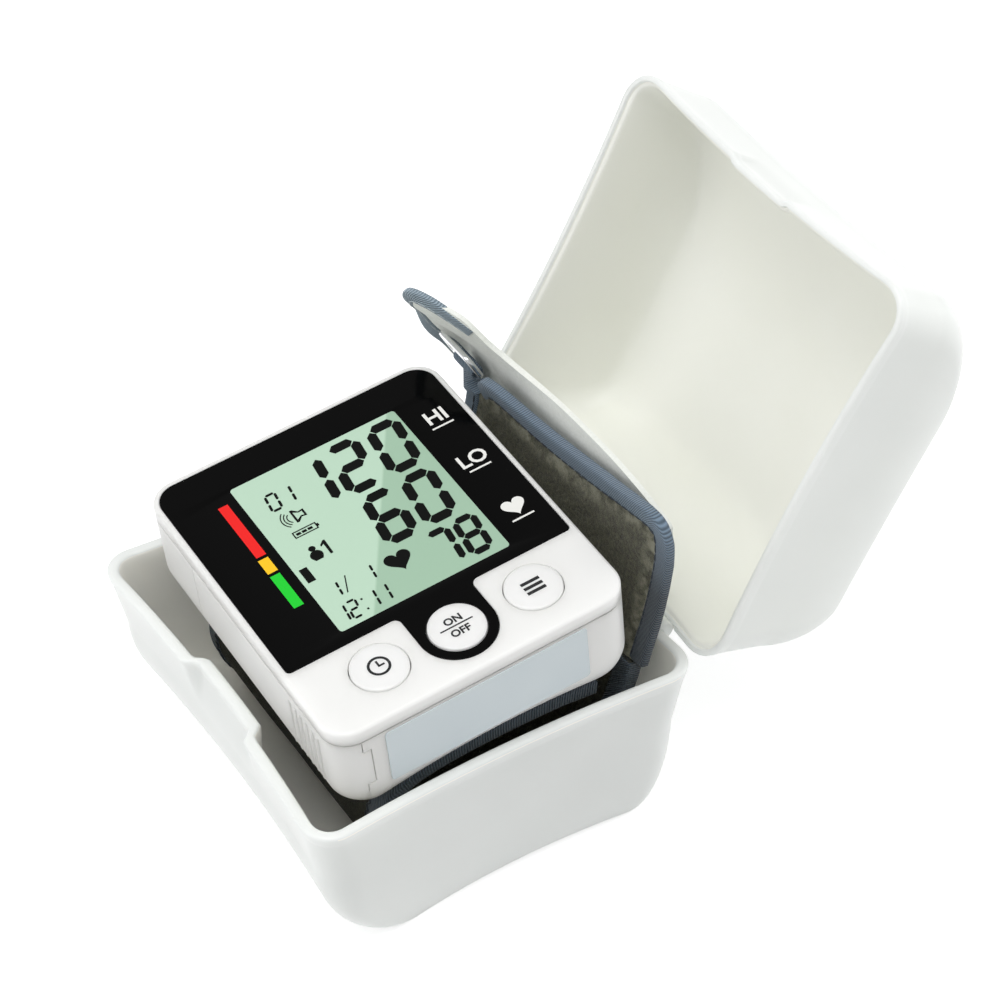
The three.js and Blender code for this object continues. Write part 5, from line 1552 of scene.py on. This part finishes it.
# How far the strap curls forward, and where along y and z its curl starts and over what run.
STRAP_CURL, STRAP_CURL_FROM, STRAP_CURL_RUN = 13.7, (5.0, 21.0), (34.0, 20.0)
STRAP_TOP = np.array(
    [
        (0, 27.3), (0.02, 28.3), (0.107, 29.5), (0.221, 30.4), (0.336, 30.6), (0.45, 30.4),
        (0.564, 30.0), (0.65, 30.8), (0.707, 32.8), (0.764, 36.4), (0.821, 40.1), (0.879, 41.6),
        (0.921, 42.2), (0.95, 42.0), (0.975, 41.2), (1, 39.6),
    ]
)
STRAP_FAR_EDGE = np.array(
    [
        (12, 34.6), (15, 36.6), (18.5, 38.1), (22, 39.5), (25, 40.2),
        (28, 41.0), (31, 41.2), (34, 40.6), (37, 38.6), (39.6, 37.3),
    ]
)
EDGE_CURL, EDGE_FROM, EDGE_RUN, EDGE_TOP, EDGE_FADE = 5.2, 35.3, 5.2, 24.0, 11.0


def strap_point(y, z):
    """The strap's middle surface: upright at the near side, curling forward as it goes far and high,
    and its far edge curling forward once more past the ring."""
    grown = [smooth((v - s) / r) for v, s, r in zip((y, z), STRAP_CURL_FROM, STRAP_CURL_RUN)]
    forward = STRAP_CURL * grown[0] * grown[1]
    edge = EDGE_CURL * smooth((y - EDGE_FROM) / EDGE_RUN) * (1 - smooth((z - EDGE_TOP) / EDGE_FADE))
    return np.stack([STRAP_BACK - forward - edge, y + 0 * z, BASE_TALL + z], -1)


share = np.linspace(0, 1, 120)
strap_top = smooth_line(STRAP_TOP, 400)[0]
strap_top = np.interp(share, *strap_top.T) - 0.4
z_grid = STRAP_FOOT + z_share[:, None] * (strap_top[None, :] - STRAP_FOOT)
strap_far = smooth_line(STRAP_FAR_EDGE, 400)[0]
far_edge = np.interp(z_grid, *strap_far.T) - 0.5
y_grid = -STRAP_NEAR + share[None, :] * (far_edge + STRAP_NEAR)
half_thick = np.full_like(y_grid, 0.55)
points, faces = padded_sheet(strap_point, y_grid, z_grid, half_thick, half_thick)
strap = piece("strap_felt", points, faces, "strap", pale_felt, ("strap_tongue",), 60)
strap_corners = [
    (34.8, 12.5), (38.1, 18.5), (39.8, 23), (40.9, 27.5), (41.1, 31.5), (40.0, 35.2), (38.2, 38.4),
    (36.6, 40.9), (34.6, 41.9), (32.0, 42.1), (29.2, 41.6), (26.0, 40.0), (23.0, 37.6),
]
strap_tape, strap_sewn = bound_edge(
    "strap_tape", strap_point, strap_corners, 2.9, 1.5, pale_tape, thread_pale
)

# %% [markdown]
# ## The ring and its tab
# A rounded rectangle of plated wire stands in a fold of webbing made of the slate tape. The wire is
# a circle carried round that rectangle. The webbing is one turn round the ring's lower bar, with a
# tail behind it.

# %% Ring and tab
RING_X, RING_LEAN, RING_Y, RING_FOOT = 35.9, 3.0, 31.0, 22.0
RING_HALF, RING_TALL, RING_CORNER, RING_WIRE = 5.3, 5.6, 1.4, 0.58
chrome_wire, tree, surface = new_material("plated_wire", 0.2, "#F0F1F2", Metallic=1.0)
draw_lines = speckle(tree, 0.6, 2.0)
tree.links.new(ranged(tree, draw_lines, 0.0, 1.0, 0.15, 0.3), surface.inputs["Roughness"])
flat_ring = round_box(RING_HALF, RING_TALL / 2, RING_CORNER, RING_Y, RING_FOOT + RING_TALL / 2)
flat_ring = even_loop(flat_ring, 0.6)
up = (flat_ring[:, 1] - RING_FOOT) / RING_TALL
ring_line = np.stack([RING_X - RING_LEAN * up, flat_ring[:, 0], BASE_TALL + flat_ring[:, 1]], 1)
along = unit(np.roll(ring_line, -1, 0) - np.roll(ring_line, 1, 0))
facing = unit(np.array([[RING_TALL, 0.0, RING_LEAN]]))
through = np.repeat(facing, len(along), 0)
across = unit(np.cross(along, through))
a = np.linspace(0, 2 * math.pi, 20, endpoint=False)
rings = (
    ring_line[:, None, :]
    + RING_WIRE * across[:, None, :] * np.cos(a)[None, :, None]
    + RING_WIRE * through[:, None, :] * np.sin(a)[None, :, None]
)
points = rings.reshape(-1, 3)
faces = grid_faces(len(ring_line), len(a), loop_rows=True, loop_columns=True)
wire = piece("ring_wire", points, faces, "metal_ring", chrome_wire, ("metal_ring",))

TAB_TURN, TAB_THICK, TAB_WIDE, TAB_DROP = 1.1, 0.6, 6.8, 9.0
bar_z = BASE_TALL + RING_FOOT
tail = [(RING_X + TAB_TURN, z) for z in np.linspace(bar_z - TAB_DROP, bar_z, 14)[:-1]]
tab_path = np.vstack([tail, arc(RING_X, bar_z, TAB_TURN, 0, 268, 36)])
tab_line = np.stack([tab_path[:, 0], np.full(len(tab_path), RING_Y), tab_path[:, 1]], 1)
along = unit(np.gradient(tab_line, axis=0))
across = np.tile([0.0, 1.0, 0.0], (len(tab_line), 1))
through = unit(np.cross(across, along))
tab = tape("tab_webbing", tab_line, across, through, TAB_WIDE, TAB_THICK, "strap", slate_tape)
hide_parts("ring_tab")

# %% [markdown]
# ## Pieces inside the monitor
# The board, the pump and the cells are hidden, but their solids stay and get plain true finishes,
# so that they look right wherever the body is opened.

# %% Finishes of the inner pieces
def plain_finish(name, colour, shade, roughness, metallic=0.0, grain_mm=1.5):
    """A plain finish with a slight grain in its colour."""
    material, tree, surface = new_material(name, roughness, colour, Metallic=metallic)
    tint = between(tree, speckle(tree, grain_mm, 3.0), colour, shade)
    tree.links.new(tint, surface.inputs["Base Color"])
    return material


inner_finishes = {
    "holder_grey": plain_finish("moulded_grey_nylon", "#B4B7B8", "#A9ACAE", 0.6),
    "board_green": plain_finish("green_solder_mask", "#1E6B3A", "#175A30", 0.4, grain_mm=2.5),
    "device_black": plain_finish("moulded_black_nylon", "#1B1B1D", "#242427", 0.5),
    "steel": plain_finish("bright_steel", "#B9BBBD", "#A5A8AA", 0.3, 1.0, 0.8),
    "cell_sleeve": plain_finish("printed_cell_sleeve", "#3A5A86", "#33507A", 0.4),
    "tube_silicone": plain_finish("clear_silicone", "#D8DCDC", "#CDD2D2", 0.4),
    "lcd_grey_green": display_ground,
    "bladder_grey": plain_finish("coated_bladder_sheet", "#33363A", "#3B3F44", 0.7),
    "body_white": body_abs,
}
slots = {s["node"]: s["material_slot"] for s in frame["record"]["subparts"]}
for node, obj in frame["nodes"].items():
    if not obj.hide_render and slots.get(node) in inner_finishes:
        for slot in obj.material_slots:
            slot.material = inner_finishes[slots[node]]

# %% [markdown]
# ## How the soft pieces follow the lid
# When the lid closes, the strap and the cuff's end are pressed down in front of it. They ride on
# the strap's body, which sinks with the lid. Each of them gets its own copy of its mesh.

# %% Own meshes of the soft pieces
for obj in (flap, flap_tape, flap_sewn, far_tape, far_sewn):
    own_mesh(obj)
for obj in (strap, strap_tape, strap_sewn):
    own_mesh(obj)

# %% [markdown]
# ## Floor and light
# A plain studio: a pale floor, a large soft lamp above, a weaker one on either side, and an even
# surround that fills the shadows. The floor and the surround look white to the camera, and give the
# object only as much light as a pale grey would.

# %% Floor, lamps and surround
floor_white, tree, surface = new_material("white_floor", 0.9, "#DEDEDE")
rays = add(tree, "ShaderNodeLightPath").outputs
seen = add(tree, "ShaderNodeMath", i0=rays["Is Camera Ray"], i1=rays["Is Glossy Ray"])
seen = add(tree, "ShaderNodeMath", i0=seen.outputs[0], i1=rays["Is Transmission Ray"])
glow = add(tree, "ShaderNodeMath", {"operation": "MULTIPLY", 1: 0.55}, i0=seen.outputs[0])
tree.links.new(glow.outputs[0], surface.inputs["Emission Strength"])
surface.inputs["Emission Color"].default_value = (1, 1, 1, 1)
mesh = bpy.data.meshes.new("floor")
FLOOR_HALF = 4.0
corners = np.insert(box_outline(-FLOOR_HALF, -FLOOR_HALF, FLOOR_HALF, FLOOR_HALF), 2, 0.0, axis=1)
mesh.from_pydata(corners.tolist(), [], [[0, 1, 2, 3]])
mesh.materials.append(floor_white)
floor = bpy.data.objects.new("floor", mesh)
scene.collection.objects.link(floor)


LAMP_AIM = Vector((0.02, 0.0, 0.04))


def lamp(name, place, size, power):
    """A square area lamp that faces the object."""
    light = bpy.data.lights.new(name, "AREA")
    light.shape = "SQUARE"
    light.size = size
    light.energy = power
    obj = bpy.data.objects.new(name, light)
    obj.location = place
    obj.rotation_euler = (LAMP_AIM - Vector(place)).to_track_quat("-Z", "Y").to_euler()
    scene.collection.objects.link(obj)


lamp("key_lamp", (-0.18, -0.12, 1.1), 0.7, 6.0)
lamp("left_lamp", (-0.75, 0.15, 0.5), 0.5, 2.0)
lamp("right_lamp", (0.9, -0.25, 0.45), 0.6, 3.4)
world = bpy.data.worlds.new("surround")
scene.world = world
world.use_nodes = True
tree = world.node_tree
background = tree.nodes["Background"]
background.inputs["Color"].default_value = (1.0, 1.0, 1.0, 1.0)
rays = add(tree, "ShaderNodeLightPath").outputs
shown = add(tree, "ShaderNodeMath", i0=rays["Is Camera Ray"], i1=rays["Is Transmission Ray"])
strength = ranged(tree, shown.outputs[0], 0.0, 1.0, 0.5, 1.0)
tree.links.new(strength, background.inputs["Strength"])
scene.view_settings.view_transform = "Standard"
